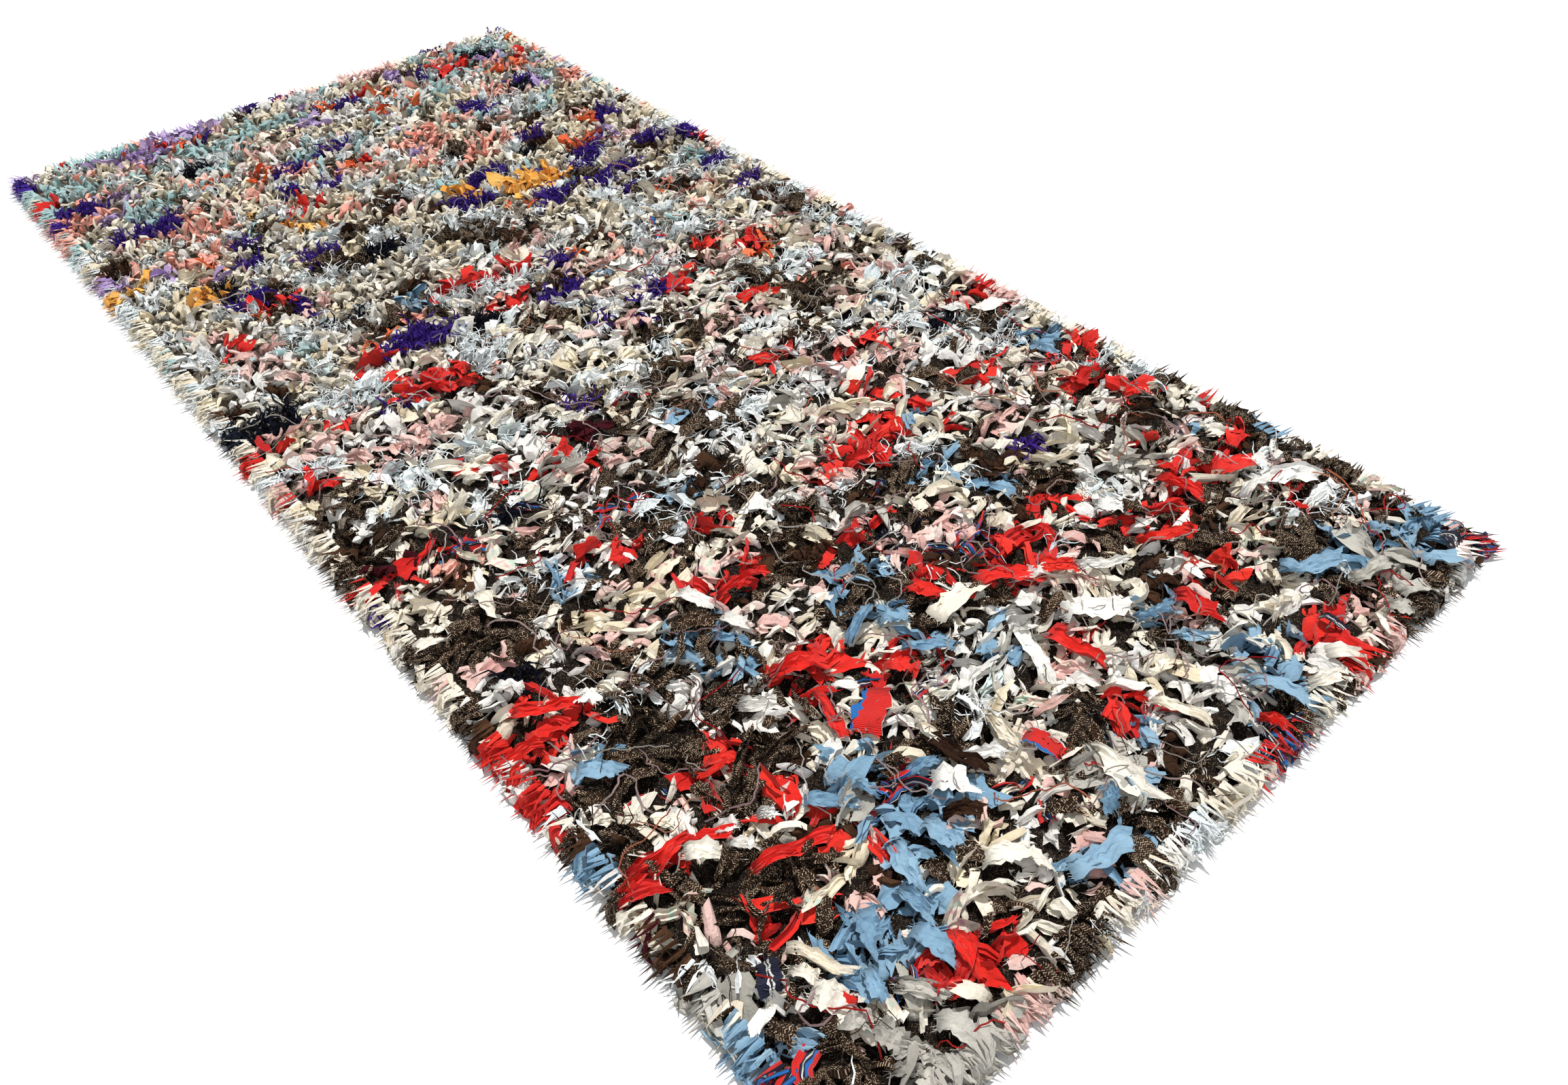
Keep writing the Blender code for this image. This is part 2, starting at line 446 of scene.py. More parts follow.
def sweep(line, side, up, across, height):
    """Carries a cross section along each line: across and height are strips x rings x columns."""
    return line[:, :, None] + side[:, :, None] * across[..., None] + up[:, :, None] * height[..., None]


def shares(rings):
    """How far along its line each ring lies, from 0 at the knot to 1 at the end."""
    return np.linspace(0, 1, rings)[None, :]


def cloth_places(across, share, long, shape):
    """Cloth coordinates of a sweep's points: across the strip, and along it from its knot."""
    along = (share * long[:, None])[..., None]
    return np.stack([np.broadcast_to(across, shape), np.broadcast_to(along, shape)], axis=-1)


def roll_over(side, up, angle):
    """Turns a section about its line by an angle at every ring."""
    turn, lean = np.cos(angle)[..., None], np.sin(angle)[..., None]
    return side * turn + up * lean, up * turn - side * lean


def ease(share):
    """From 0 to 1 with a soft start and end."""
    share = np.clip(share, 0, 1)
    return share * share * (3 - 2 * share)


# %% [markdown]
# A strip can't sink through the ground or float over the pile. Its centre line is pressed softly
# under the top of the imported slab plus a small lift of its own, so that some lie over others. Its
# pleats are added after that and stay deep. The finished points are only kept off the ground, and
# those past the rug's body are drawn in, which leaves the rim to its own pointed locks.

# %% Settle strips in the pile
PILE_FLOOR = 3.6 * MM
HIGHEST = cad_box[1][2] + 7 * MM
REACH_X = cad_box[1][0] + 4 * MM
REACH_Y = cad_box[1][1] + 6 * MM
OVERSHOOT = 0.2
BODY_X = cad_box[1][0] - 44 * MM
BODY_Y = cad_box[1][1] - 44 * MM
OVERHANG = 32 * MM


def settle(line, lift):
    """Presses centre lines down to the pile's top and up off the ground."""
    cap = pile_top(line[..., 0], line[..., 1]) + lift[:, None]
    over = line[..., 2] - cap
    line[..., 2] = np.where(over > 0, cap + OVERSHOOT * over, line[..., 2])
    line[..., 2] = np.maximum(line[..., 2], PILE_FLOOR)
    return line


def keep_inside(points):
    """Keeps finished points over the ground, under the highest lump and near the rug's body."""
    points[..., 2] = np.clip(points[..., 2], PILE_FLOOR, HIGHEST)
    for axis, side in ((0, BODY_X), (1, BODY_Y)):
        beyond = np.clip(np.abs(points[..., axis]) - side, 0, None)
        kept = OVERHANG * (1 - np.exp(-beyond / OVERHANG))
        points[..., axis] -= np.sign(points[..., axis]) * (beyond - kept)
    return points


# %% [markdown]
# The weaver ties a rag round two warps and cuts it, so each knot has two tails. The knots sit in
# rows about three centimetres apart. Near the camera the pile has been walked flat and lies along
# the rows or towards the near end; at the far end it still stands up, with tails pointing every way.

# %% Lay out the knots
Knots = namedtuple("Knots", "root heading stand cloth tint")
ROW_PITCH = 31 * MM
KNOT_PITCH = 20 * MM
FAR_PITCH = 16 * MM
CLOSER_FROM = -0.3
CLOSER_OVER = 0.9
PLACE_SPREAD = 4 * MM
ROW_SPREAD = 3 * MM
TAIL_GAP = 3 * MM
KNOT_HEIGHT = 4.5 * MM
FAR_KNOT_HEIGHT = 17 * MM
STAND_FROM = -0.45
STAND_OVER = 1.15
LIE_HEADINGS = np.radians([-8, 176, -95])
LIE_SHARES = (0.38, 0.28, 0.34)
LYING_SPREAD = np.radians(36)
STANDING_SPREAD = np.radians(75)
EDGE_BAND = 0.06
OUTWARD_PULL = 2.2


def knot_places():
    """Places of the knots, row by row, closer together in the far half."""
    places = []
    for row in np.arange(-BODY_Y, BODY_Y + ROW_PITCH / 2, ROW_PITCH):
        pitch = KNOT_PITCH + (FAR_PITCH - KNOT_PITCH) * ease((row - CLOSER_FROM) / CLOSER_OVER)
        columns = np.arange(-BODY_X, BODY_X + pitch / 2, pitch)
        places.append(np.stack([columns, np.full_like(columns, row)]))
    x, y = np.concatenate(places, axis=1)
    x = np.clip(x + chance.normal(0, PLACE_SPREAD, x.shape), -BODY_X, BODY_X)
    return x, np.clip(y + chance.normal(0, ROW_SPREAD, x.shape), -BODY_Y, BODY_Y)


def near_edge(place, side):
    """From 0 inside the rug to 1 at its side."""
    return ease((np.abs(place) - side + EDGE_BAND) / EDGE_BAND)


def lay_knots():
    """Both tails of every knot, with the way they point and how upright they stand."""
    x, y = knot_places()
    cloth = cloth_at(x, y)
    x, y, cloth = np.repeat(x, 2), np.repeat(y, 2), np.repeat(cloth, 2)
    x = x + np.tile([-TAIL_GAP, TAIL_GAP], len(x) // 2)
    stand = ease((y - STAND_FROM) / STAND_OVER)
    lobe = chance.choice(LIE_HEADINGS, x.shape, p=LIE_SHARES)
    heading = lobe + (LYING_SPREAD + STANDING_SPREAD * stand) * chance.normal(0, 1, x.shape)
    edge_x, edge_y = near_edge(x, BODY_X), near_edge(y, BODY_Y)
    pull = OUTWARD_PULL * np.maximum(edge_x, edge_y)
    way_x = np.cos(heading) + pull * edge_x * np.sign(x)
    way_y = np.sin(heading) + pull * edge_y * np.sign(y)
    root = np.stack([x, y, KNOT_HEIGHT + (FAR_KNOT_HEIGHT - KNOT_HEIGHT) * stand], axis=-1)
    tint = np.clip(chance.normal(0.5, 0.22, x.shape), 0, 1)
    return Knots(root, np.arctan2(way_y, way_x), stand, cloth, tint)


knots = lay_knots()
print(len(knots.cloth), "tails in", ROW_PITCH, "m rows")


def take(some, which):
    """The knots that a test picks out."""
    return Knots(*(values[which] for values in some))


# %% [markdown]
# A tail leaves its knot steeply and bends over to the angle at which it ends, in degrees as a middle
# and a spread: flat near the camera, well up in the far half. A small chance turn at every ring
# keeps it from looking drawn with a compass, and yarn gets a curl on top.

# %% Lines of the tails
FIRST_RISE = (48, 82)
LYING_RISE = (-4, 13)
STANDING_RISE = (22, 26)
TURNED_AT = 0.62
BEND_SPREAD = 34
RISE_JITTER = np.radians(5)
HEADING_JITTER = np.radians(4)


def tail_lines(some, long, rings, curl=0.0, waves=1.0):
    """Centre lines of tails that rise from their knots and fall over, flat near and upright far."""
    count, share = len(some.tint), shares(rings)
    start = np.radians(chance.uniform(*FIRST_RISE, count))[:, None]
    lying = np.radians(chance.normal(*LYING_RISE, count))
    standing = np.radians(chance.normal(*STANDING_RISE, count))
    end = (lying * (1 - some.stand) + standing * some.stand)[:, None]
    rise = start + (end - start) * ease(share / TURNED_AT)
    rise = rise + RISE_JITTER * chance.normal(0, 1, (count, rings)) * share
    bend = np.radians(chance.normal(0, BEND_SPREAD, count))[:, None]
    heading = some.heading[:, None] + bend * share
    heading = heading + HEADING_JITTER * chance.normal(0, 1, (count, rings)) * share
    turn = 2 * np.pi * (waves * share + chance.uniform(0, 1, (count, 1)))
    reach = curl * chance.uniform(0.4, 1.3, (count, 1)) * ease(share * 2.5)
    return centre_lines(some.root, heading + reach * np.sin(turn), rise + 0.7 * reach * np.cos(turn), long)


# %% [markdown]
# Cotton rags are torn ribbons. The knot gathers them into pleats, which open towards a ragged end
# that was torn or cut on a slant. The section of a ribbon is an arc: a nearly straight one is a flat
# scrap, a closed one is a soft roll. Each column of its points gets a chance pleat and each point a
# crumple. Near the camera ribbons have more points and a few frayed threads at their torn ends.

# %% Torn ribbons
Cut = namedtuple("Cut", "wide long pleat crumple lift roll torn", defaults=(0.9, 1.0))
Detail = namedtuple("Detail", "rings columns frays")
NEAR_DETAIL = Detail(7, 6, 3)
FAR_DETAIL = Detail(5, 5, 0)
DETAIL_FROM = 0.30
LIFT_SPREAD = 5 * MM
FAR_SHORTER = 0.30
FAR_NARROWER = 0.12
FAR_ROLL = -1.2
FAR_CRUMPLE = 2.0
FAR_TORN = 0.55
GATHERED = 0.42
OPEN_AT_KNOT = 0.42
TORN_SIDES = 0.11
FRAY_LONG = 6 * MM
FRAY_THICK = 0.8 * MM
FRAY_SAG = 2 * MM
FRAY_CLOTH = 40 * MM
TAPER = (-0.15, 0.25)
ROLL_LIMITS = (0.06, 2.9)
UNEVEN = 0.10
SLANT = 0.30
RAGGED = 2.2 * MM


def frays(bundle, ends, ahead, tint, count):
    """Short threads that stand out from the last ring of each ribbon."""
    strips, columns, _ = ends.shape
    place = np.sort(chance.uniform(0, columns - 1.001, (strips, count)), axis=1)
    first = place.astype(int)
    rows = np.arange(strips)[:, None]
    blend = (place - first)[..., None]
    root = ends[rows, first] * (1 - blend) + ends[rows, first + 1] * blend
    edge = ends[rows, first + 1] - ends[rows, first]
    edge = edge / np.maximum(np.linalg.norm(edge, axis=-1, keepdims=True), 1e-6)
    way = ahead[:, None] + 0.5 * edge * chance.normal(0, 1, (strips, count, 1))
    tip = root + way * FRAY_LONG * chance.uniform(0.4, 1.3, (strips, count, 1))
    tip[..., 2] -= chance.uniform(0, FRAY_SAG, (strips, count))
    half = edge * FRAY_THICK / 2
    points = np.stack([root - half, root + half, tip - 0.3 * half, tip + 0.3 * half], axis=2)
    points = keep_inside(points.reshape(strips * count, 2, 2, 3))
    cloth = np.broadcast_to([0.0, FRAY_CLOTH], points.shape[:3] + (2,))
    bundle.add(points, cloth, np.clip(np.repeat(tint, count) + 0.2, 0, 1))


def vary(spread, count):
    """Chance factors about 1, none of them extreme."""
    return np.exp(np.clip(chance.normal(0, spread, count), -2.0 * spread, 1.5 * spread))


def cloth_strips(bundle, lines, size, tint, cut, detail, gather, roll):
    """Carries a bent, pleated and crumpled section of torn cloth along each line."""
    (line, ahead, side, up), (long, wide) = lines, size
    count, rings, width = len(tint), detail.rings, detail.columns
    share, columns = shares(rings), np.linspace(-1, 1, width)[None, None, :]
    open_out = gather + (1 - gather) * ease(share / 0.5)
    taper = chance.uniform(*TAPER, count)[:, None]
    full = chance.uniform(0.1, 1.0, count)[:, None, None]
    half = (wide[:, None] / 2 * open_out * (1 - taper * ease((share - 0.5) / 0.5)))[..., None]
    half = half * (1 + cut.torn * TORN_SIDES * chance.normal(0, 1, half.shape))
    bend = np.where(roll < 0, -1, 1) * np.clip(np.abs(roll), *ROLL_LIMITS)
    bend = (bend[:, None] * (0.75 + 0.35 * share))[..., None]
    uneven = columns + UNEVEN * chance.normal(0, 1, (count, rings, width))
    across = np.sin(bend * uneven) / bend * half * (1 - GATHERED * full)
    zigzag = (-1.0) ** np.arange(width) * (1 + 0.4 * chance.normal(0, 1, (count, 1, width)))
    folds = zigzag * full * cut.pleat * (1.2 - 0.5 * share[..., None])
    creases = chance.normal(0, 1, (count, rings, width)) * cut.crumple
    flatter = 1 / (1 + 0.4 * np.abs(bend))
    loose = ease(share * 4 + gather)[..., None]
    height = (folds + creases) * flatter * loose + (1 - np.cos(bend * columns)) / bend * half
    points = sweep(line, side, up, across, height)
    slant = cut.torn * chance.normal(0, SLANT, count)[:, None] * wide[:, None] * columns[0]
    ragged = cut.torn * chance.normal(0, RAGGED, (count, width))
    points[:, -1] += ahead[:, -1, None, :] * (slant + ragged)[..., None]
    keep_inside(points)
    bundle.add(points, cloth_places(columns * wide[:, None, None] / 2, share, long, across.shape), tint)
    if detail.frays:
        frays(bundle, points[:, -1], ahead[:, -1], tint, detail.frays)
    return points


def ribbons(bundle, some, cut, detail):
    """Pleated ribbons of torn cloth, one for each tail."""
    count = len(some.tint)
    long = cut.long * (1 - FAR_SHORTER * some.stand) * vary(0.26, count)
    wide = cut.wide * (1 - FAR_NARROWER * some.stand) * vary(0.36, count)
    line, ahead, side, up = tail_lines(some, long, detail.rings, np.radians(16), 0.8)
    line = settle(line, cut.lift + chance.normal(0, LIFT_SPREAD, count))
    lean = np.radians(chance.normal(0, 30, count))[:, None]
    twist = np.radians(chance.normal(0, 34, count))[:, None]
    side, up = roll_over(side, up, lean + twist * shares(detail.rings))
    roll = chance.normal(0, cut.roll, count) + FAR_ROLL * some.stand
    lines = (line, ahead, side, up)
    cloth_strips(bundle, lines, (long, wide), some.tint, cut, detail, OPEN_AT_KNOT, roll)


def torn_strips(bundle, some, cut):
    """Fine ribbons where the scraps are large and close, and simpler ones beyond."""
    close = some.stand < DETAIL_FROM
    ribbons(bundle, take(some, close), cut, NEAR_DETAIL)
    far_cut = cut._replace(crumple=cut.crumple * FAR_CRUMPLE, torn=FAR_TORN)
    ribbons(bundle, take(some, ~close), far_cut, FAR_DETAIL)


# %% [markdown]
# Cut jersey and jumper knit roll up on themselves, and so does some of the thin cotton, so those
# rags are soft ropes. A roll is a closed section of five points, a little flattened, that swells and
# shrinks along its length and closes at its end. The cloth coordinates run from one side of the roll
# to the other and back, with no seam.

# %% Rolled knit
ROLL_RINGS = 6
ROLL_SIDES = 5
LUMPY = 0.20


def rolls(bundle, some, cut):
    """Soft ropes of rolled knit, one for each tail."""
    count, share = len(some.tint), shares(ROLL_RINGS)
    long = cut.long * (1 - FAR_SHORTER * some.stand) * vary(0.22, count)
    radius = cut.wide / 2 * (1 - 0.2 * some.stand) * vary(0.22, count)
    line, _, side, up = tail_lines(some, long, ROLL_RINGS, np.radians(26), 0.8)
    line = settle(line, cut.lift + chance.normal(0, LIFT_SPREAD, count))
    side, up = roll_over(side, up, np.radians(chance.uniform(-60, 60, count))[:, None])
    close = np.sqrt(np.clip(1 - ((share - 0.55) / 0.46).clip(0, 1) ** 4, 0.0004, 1))
    swell = 1 + LUMPY * chance.normal(0, 1, (count, ROLL_RINGS))
    thick = (radius[:, None] * (0.6 + 0.4 * ease(share / 0.3)) * close * swell)[..., None]
    angle = np.linspace(0, 2 * np.pi, ROLL_SIDES, endpoint=False)[None, None, :]
    bumpy = 1 + LUMPY * chance.normal(0, 1, (count, ROLL_RINGS, ROLL_SIDES))
    flat = chance.uniform(0.35, 0.85, count)[:, None, None]
    points = sweep(line, side, up, np.cos(angle) * thick * bumpy, np.sin(angle) * thick * bumpy * flat)
    keep_inside(points)
    round_way = np.minimum(angle, 2 * np.pi - angle) * radius[:, None, None]
    bundle.add(points, cloth_places(round_way, share, long, points.shape[:3]), some.tint, closed=True)


# %% [markdown]
# Yarn tufts and frayed gauze are several fine strands from one knot. A strand of yarn is a thin
# three-sided tube, and one of gauze a flat strip. It leaves its knot with its own lean and wriggles
# as it goes, because it was unravelled and still holds the shape of its stitches or its weave.

# %% Strands
Tuft = namedtuple("Tuft", "strands thick long lean wriggle curl waves lift rings flat")
ROOT_SPREAD = 4 * MM
TUBE_CORNERS = np.radians([90, 210, 330])[None, None, :]
FLAT_CORNERS = np.radians([0, 180])[None, None, :]


def strands(bundle, some, tuft):
    """Wriggly strands that spread out from each tail's knot."""
    several = Knots(*(np.repeat(values, tuft.strands, axis=0) for values in some))
    count, share = len(several.tint), shares(tuft.rings)
    shift = chance.normal(0, ROOT_SPREAD, (count, 3)) * (1, 1, 0.3)
    heading = several.heading + np.radians(tuft.lean) * chance.normal(0, 1, count)
    tint = np.clip(several.tint + chance.normal(0, 0.12, count), 0, 1)
    several = several._replace(root=several.root + shift, heading=heading, tint=tint)
    long = tuft.long * (1 - FAR_SHORTER * several.stand) * vary(0.25, count)
    line, _, side, up = tail_lines(several, long, tuft.rings, np.radians(tuft.curl), tuft.waves)
    sway = np.cumsum(chance.normal(0, tuft.wriggle, (count, tuft.rings, 3)), axis=1)
    line = settle(line + (sway - sway[:, :1]), tuft.lift + chance.normal(0, LIFT_SPREAD, count))
    thick = tuft.thick / 2 * (1 - 0.55 * ease((share - 0.6) / 0.4))
    thick = (thick * vary(0.2, count)[:, None])[..., None]
    angle = FLAT_CORNERS if tuft.flat else TUBE_CORNERS
    points = keep_inside(sweep(line, side, up, np.cos(angle) * thick, np.sin(angle) * thick))
    cloth = cloth_places(angle * tuft.thick / 2, share, long, points.shape[:3])
    bundle.add(points, cloth, several.tint, closed=not tuft.flat)


# %% [markdown]
# Each cloth is now cut and laid in the pile. The tables give its rags' width and length, how deeply
# they are pleated and crumpled, and how far they stand over the rest. Marl, pale cotton and jersey
# are partly flat and partly rolled, with more rolls where the pile stands up. Brown yarn is matted
# locks with loose strands, and gauze is scraps in a cloud of threads.

# %% Cut every cloth
def in_mm(cuts):
    """Cuts from rows of width, length, pleat, crumple and lift in millimetres, and perhaps a roll."""
    return {cloth: Cut(*(size * MM for size in row[:5]), *row[5:]) for cloth, row in cuts.items()}


CUTS = in_mm({
    "cream_cotton": (26, 46, 4.2, 1.2, 1, 1.1),
    "ecru_cotton": (25, 46, 4.2, 1.2, 1, 1.1),
    "white_cotton": (27, 46, 3.6, 1.5, 2, 0.7),
    "red_cotton": (28, 52, 3.8, 1.6, 2, 0.6),
    "blue_poplin": (28, 46, 3.4, 2.2, 2, 0.5),
    "coral_cotton": (23, 48, 3.8, 1.4, 2),
    "lilac_cotton": (22, 50, 3.8, 1.4, 2),
    "orange_cotton": (16, 52, 2.6, 1.2, 3),
    "pink_jersey": (23, 46, 3.8, 1.4, 2, 1.1),
    "printed_cotton": (26, 50, 3.8, 1.4, 2),
    "grey_linen": (34, 58, 4.2, 1.4, 3),
    "striped_rib": (22, 46, 2.8, 1.3, 3),
    "gold_tulle": (32, 62, 5.0, 2.6, 8),
    "marl_knit": (27, 50, 4.2, 1.4, 3, 1.6),
    "grey_gauze": (22, 44, 4.0, 2.4, 2),
})
ROLLS = in_mm({
    "cream_cotton": (12, 44, 0, 0, 3),
    "ecru_cotton": (12, 42, 0, 0, 3),
    "white_cotton": (13, 42, 0, 0, 3),
    "pink_jersey": (12, 44, 0, 0, 3),
    "coral_cotton": (13, 44, 0, 0, 3),
    "marl_knit": (14, 48, 0, 0, 2),
    "brown_yarn": (14, 42, 0, 0, 1),
    "maroon_knit": (13, 50, 0, 0, 1),
    "mint_fleece": (12, 44, 0, 0, 2),
})
TUFTS = {
    "brown_yarn": Tuft(3, 2.4 * MM, 50 * MM, 40, 1.8 * MM, 60, 1.0, 3 * MM, 5, False),
    "violet_yarn": Tuft(5, 4.4 * MM, 54 * MM, 42, 1.8 * MM, 68, 1.2, 6 * MM, 6, False),
    "navy_yarn": Tuft(5, 4.0 * MM, 50 * MM, 38, 1.6 * MM, 60, 1.1, 3 * MM, 6, False),
    "grey_gauze": Tuft(3, 1.7 * MM, 56 * MM, 44, 0.9 * MM, 52, 1.0, 5 * MM, 7, True),
}
FLAT_SHARE = {
    "cream_cotton": 0.66,
    "ecru_cotton": 0.60,
    "white_cotton": 0.85,
    "pink_jersey": 0.55,
    "coral_cotton": 0.60,
    "marl_knit": 0.66,
    "grey_gauze": 0.85,
}
FAR_ROLLED = 0.50
bundles = {cloth: Bundle() for cloth in CLOTHS}


def cut_cloth(cloth, some):
    """Lays one cloth's tails in the forms that its rags have."""
    flat_share = FLAT_SHARE.get(cloth, 1.0) * (1 - FAR_ROLLED * some.stand * (cloth in ROLLS))
    flat = chance.uniform(size=len(some.tint)) < flat_share
    if cloth in CUTS:
        torn_strips(bundles[cloth], take(some, flat), CUTS[cloth])
    if cloth in ROLLS:
        rolls(bundles[cloth], take(some, ~flat) if cloth in CUTS else some, ROLLS[cloth])
    if cloth in TUFTS:
        strands(bundles[cloth], some, TUFTS[cloth])


for number, cloth in enumerate(CLOTHS):
    cut_cloth(cloth, take(knots, knots.cloth == number))
    print(cloth, (knots.cloth == number).sum(), "tails,", bundles[cloth].count, "points")

# %% [markdown]
# Some scraps are larger than the rest and lie loose on top: torn shirt panels, a ribbed trim, folded
# linen. They come in a few sizes. Each place gives the middle of a scrap on the rug and the way it
# lies in degrees. Its line follows the pile below it, and its ends droop.

# %% Scraps that lie on top
Scrap = namedtuple("Scrap", "long wide roll", defaults=(0.35,))
BIT = Scrap(34 * MM, 26 * MM)
PIECE = Scrap(54 * MM, 32 * MM)
STRIP = Scrap(84 * MM, 24 * MM)
PANEL = Scrap(86 * MM, 40 * MM)
TUBE = Scrap(80 * MM, 30 * MM, 2.5)
TRIM = Scrap(58 * MM, 44 * MM, 0.1)
LAID_DETAIL = Detail(12, 9, 10)
LAID_LIFT = 5.5 * MM
LAID_WAVE = 2.5 * MM
LAID_DROOP = 8 * MM
LAID_SWERVE = 14
LAID_LEAN = 9
LAID_OPEN = 0.85
LAID_CUT = Cut(0, 0, 2.4 * MM, 1.7 * MM, 0)
TRIM_CUT = Cut(0, 0, 0.3 * MM, 0.9 * MM, 0, 0, 0.3)
LAID = {
    "rib_trim": {TRIM: ((-0.25, -1.03, -135), (-0.13, -1.21, -75)), BIT: ((-0.67, -0.90, 0),)},
    "navy_trim": {BIT: ((-0.59, -1.21, -105), (0.33, -1.35, -75), (0.62, -1.38, -90))},
    "white_cotton": {
        BIT: (
            (-0.51, -1.03, -30), (-0.51, -1.06, -45), (-0.67, -0.81, -15), (-0.53, -0.75, -90),
            (-0.46, -1.05, -30),
        ),
        PIECE: (
            (-0.36, -0.92, -45), (-0.20, -1.17, -45), (-0.26, -1.17, -45), (0.09, -1.01, -45),
            (-0.31, -0.71, -75), (-0.29, -0.78, -60), (-0.60, -0.67, -75), (0.29, -1.00, -60),
        ),
        STRIP: ((-0.02, -1.10, -120), (0.18, -1.07, -45), (0.51, -1.11, 15)),
        PANEL: ((0.11, -1.11, -30), (0.56, -1.15, -45)),
    },
    "cream_cotton": {
        BIT: ((-0.56, -1.23, -60), (-0.67, -0.55, 45), (0.07, -1.43, -75)),
        PIECE: (
            (-0.56, -1.27, -60), (-0.55, -1.04, -30), (-0.15, -1.16, -90), (-0.29, -1.29, -45),
            (-0.52, -0.50, -60),
        ),
        STRIP: ((-0.53, -1.22, -45), (-0.66, -0.50, 0), (0.03, -1.30, -90), (0.24, -1.41, -45)),
        PANEL: ((-0.03, -0.97, 0), (-0.08, -1.30, -75), (0.31, -1.41, -45)),
    },
    "red_cotton": {
        BIT: ((-0.45, -0.95, -45), (-0.46, -1.33, -75), (0.11, -1.42, -45), (0.12, -1.39, -60)),
        PIECE: (
            (-0.18, -1.00, -45), (0.13, -1.02, -45), (-0.05, -0.92, -75), (-0.41, -1.33, -105),
            (-0.67, -0.79, 15), (-0.64, -1.03, -30), (0.23, -1.20, -60),
        ),
        STRIP: (
            (-0.29, -0.99, -90), (-0.24, -0.73, 0), (-0.59, -1.01, -15), (-0.47, -1.11, -15),
            (-0.65, -0.77, -30), (-0.58, -0.74, -45), (-0.58, -1.02, 0), (0.30, -1.09, -30),
        ),
        PANEL: ((-0.28, -0.91, -30), (0.07, -0.98, -30), (0.41, -1.04, -90), (0.52, -1.07, -15)),
        TUBE: ((0.02, -1.14, -90),),
    },
    "blue_poplin": {
        BIT: (
            (-0.51, -1.29, -105), (-0.68, -1.26, -90), (-0.34, -1.10, -45), (-0.13, -1.32, -105),
            (-0.09, -1.33, -90), (-0.12, -0.93, -30),
        ),
        PIECE: (
            (-0.38, -1.21, -105), (-0.41, -1.25, -90), (-0.43, -1.30, -75), (-0.47, -1.24, -105),
            (-0.39, -1.09, -45), (-0.32, -1.21, -75), (-0.27, -1.13, -15), (-0.58, -0.86, -45),
            (0.16, -1.23, -60), (0.55, -1.30, -15),
        ),
        STRIP: (
            (-0.16, -0.90, 30), (-0.12, -1.00, -45), (-0.31, -0.80, -45), (0.16, -1.17, -15),
            (0.18, -1.37, -60),
        ),
        PANEL: ((-0.21, -1.37, -30), (0.40, -1.28, -45), (0.58, -1.40, -30)),
    },
    "grey_linen": {
        BIT: ((-0.54, -1.34, -90), (-0.53, -1.37, -60), (-0.55, -1.38, -45), (-0.56, -1.31, -75)),
        PIECE: (
            (-0.68, -1.21, -105), (-0.47, -1.38, -45), (-0.48, -1.33, -60), (-0.48, -1.42, -45),
            (0.43, -1.40, -45),
        ),
        PANEL: ((0.46, -1.35, -30), (0.49, -1.40, -30)),
    },
    "marl_knit": {
        BIT: ((-0.19, -1.29, -60), (-0.52, -1.15, -45), (-0.66, -1.15, 30), (-0.62, -1.26, -60)),
        PIECE: ((-0.34, -0.75, -45), (-0.29, -1.09, -45), (0.31, -1.02, -30)),
        TUBE: ((-0.38, -0.99, 0), (-0.43, -0.96, 45)),
    },
    "brown_yarn": {PIECE: ((-0.28, -1.21, -45),), PANEL: ((-0.23, -1.14, -90),)},
}


def lay_scraps(bundle, size, places, cut):
    """Large scraps that follow the top of the pile."""
    x, y, heading = np.array(places, dtype=float).T
    count, heading = len(x), np.radians(heading)
    long, wide = size.long * vary(0.15, count), size.wide * vary(0.12, count)
    share = shares(LAID_DETAIL.rings)
    swerve = np.radians(chance.normal(0, LAID_SWERVE, count))[:, None] * np.sin(np.pi * share)
    root = np.stack([x - np.cos(heading) * long / 2, y - np.sin(heading) * long / 2, 0 * x], axis=-1)
    level = heading[:, None] + swerve
    line, ahead, side, up = centre_lines(root, level, np.zeros_like(level), long)
    below = pile_top(line[..., 0], line[..., 1])
    padded = np.pad(below, ((0, 0), (1, 1)), mode="edge")
    below = (padded[:, :-2] + padded[:, 1:-1] + padded[:, 2:]) / 3
    waves = LAID_WAVE * np.sin(share * 7 + chance.uniform(0, 6, (count, 1)))
    line[..., 2] = below + LAID_LIFT + waves - LAID_DROOP * (2 * share - 1) ** 4
    side, up = roll_over(side, up, np.radians(chance.normal(0, LAID_LEAN, count))[:, None])
    tint = np.clip(chance.normal(0.6, 0.2, count), 0, 1)
    roll = size.roll * vary(0.3, count)
    lines = (line, ahead, side, up)
    points = cloth_strips(bundle, lines, (long, wide), tint, cut, LAID_DETAIL, LAID_OPEN, roll)
    frays(bundle, points[:, 0], -ahead[:, 0], tint, LAID_DETAIL.frays)


for cloth, sizes in LAID.items():
    bundles.setdefault(cloth, Bundle())
    for size, places in sizes.items():
        lay_scraps(bundles[cloth], size, places, TRIM_CUT if "trim" in cloth else LAID_CUT)
print(sum(len(places) for sizes in LAID.values() for places in sizes.values()), "scraps on top")

# %% [markdown]
# Between the strips one looks down on matted knots and the stubs of old rags. A rough sheet below the
# pile's height stands for them, so a gap never shows the bare ground: it is dark jumper wool in the near
# part, and pale cotton stubs in the far part, where the rags are lighter. Both sheets are coloured darker
# than that wool and cotton, as painted shade in the gaps between the strips. Halfway, one sheet sinks as
# the other rises, so they change places in ragged patches.

# %% Matted roots of the pile
ROOT_STEP = 18 * MM
DARK_SHARE = 0.40
PALE_SHARE = 0.38
SUNK_SHARE = 0.15
CHANGE_FROM = -0.36
CHANGE_TO = 0.42
CHANGE_RAGGED = 0.4
ROOT_ROUGH = 4.5 * MM
ROOT_PULLED = 3 * MM
PAST_DUST_AND_SHADE = 9.0


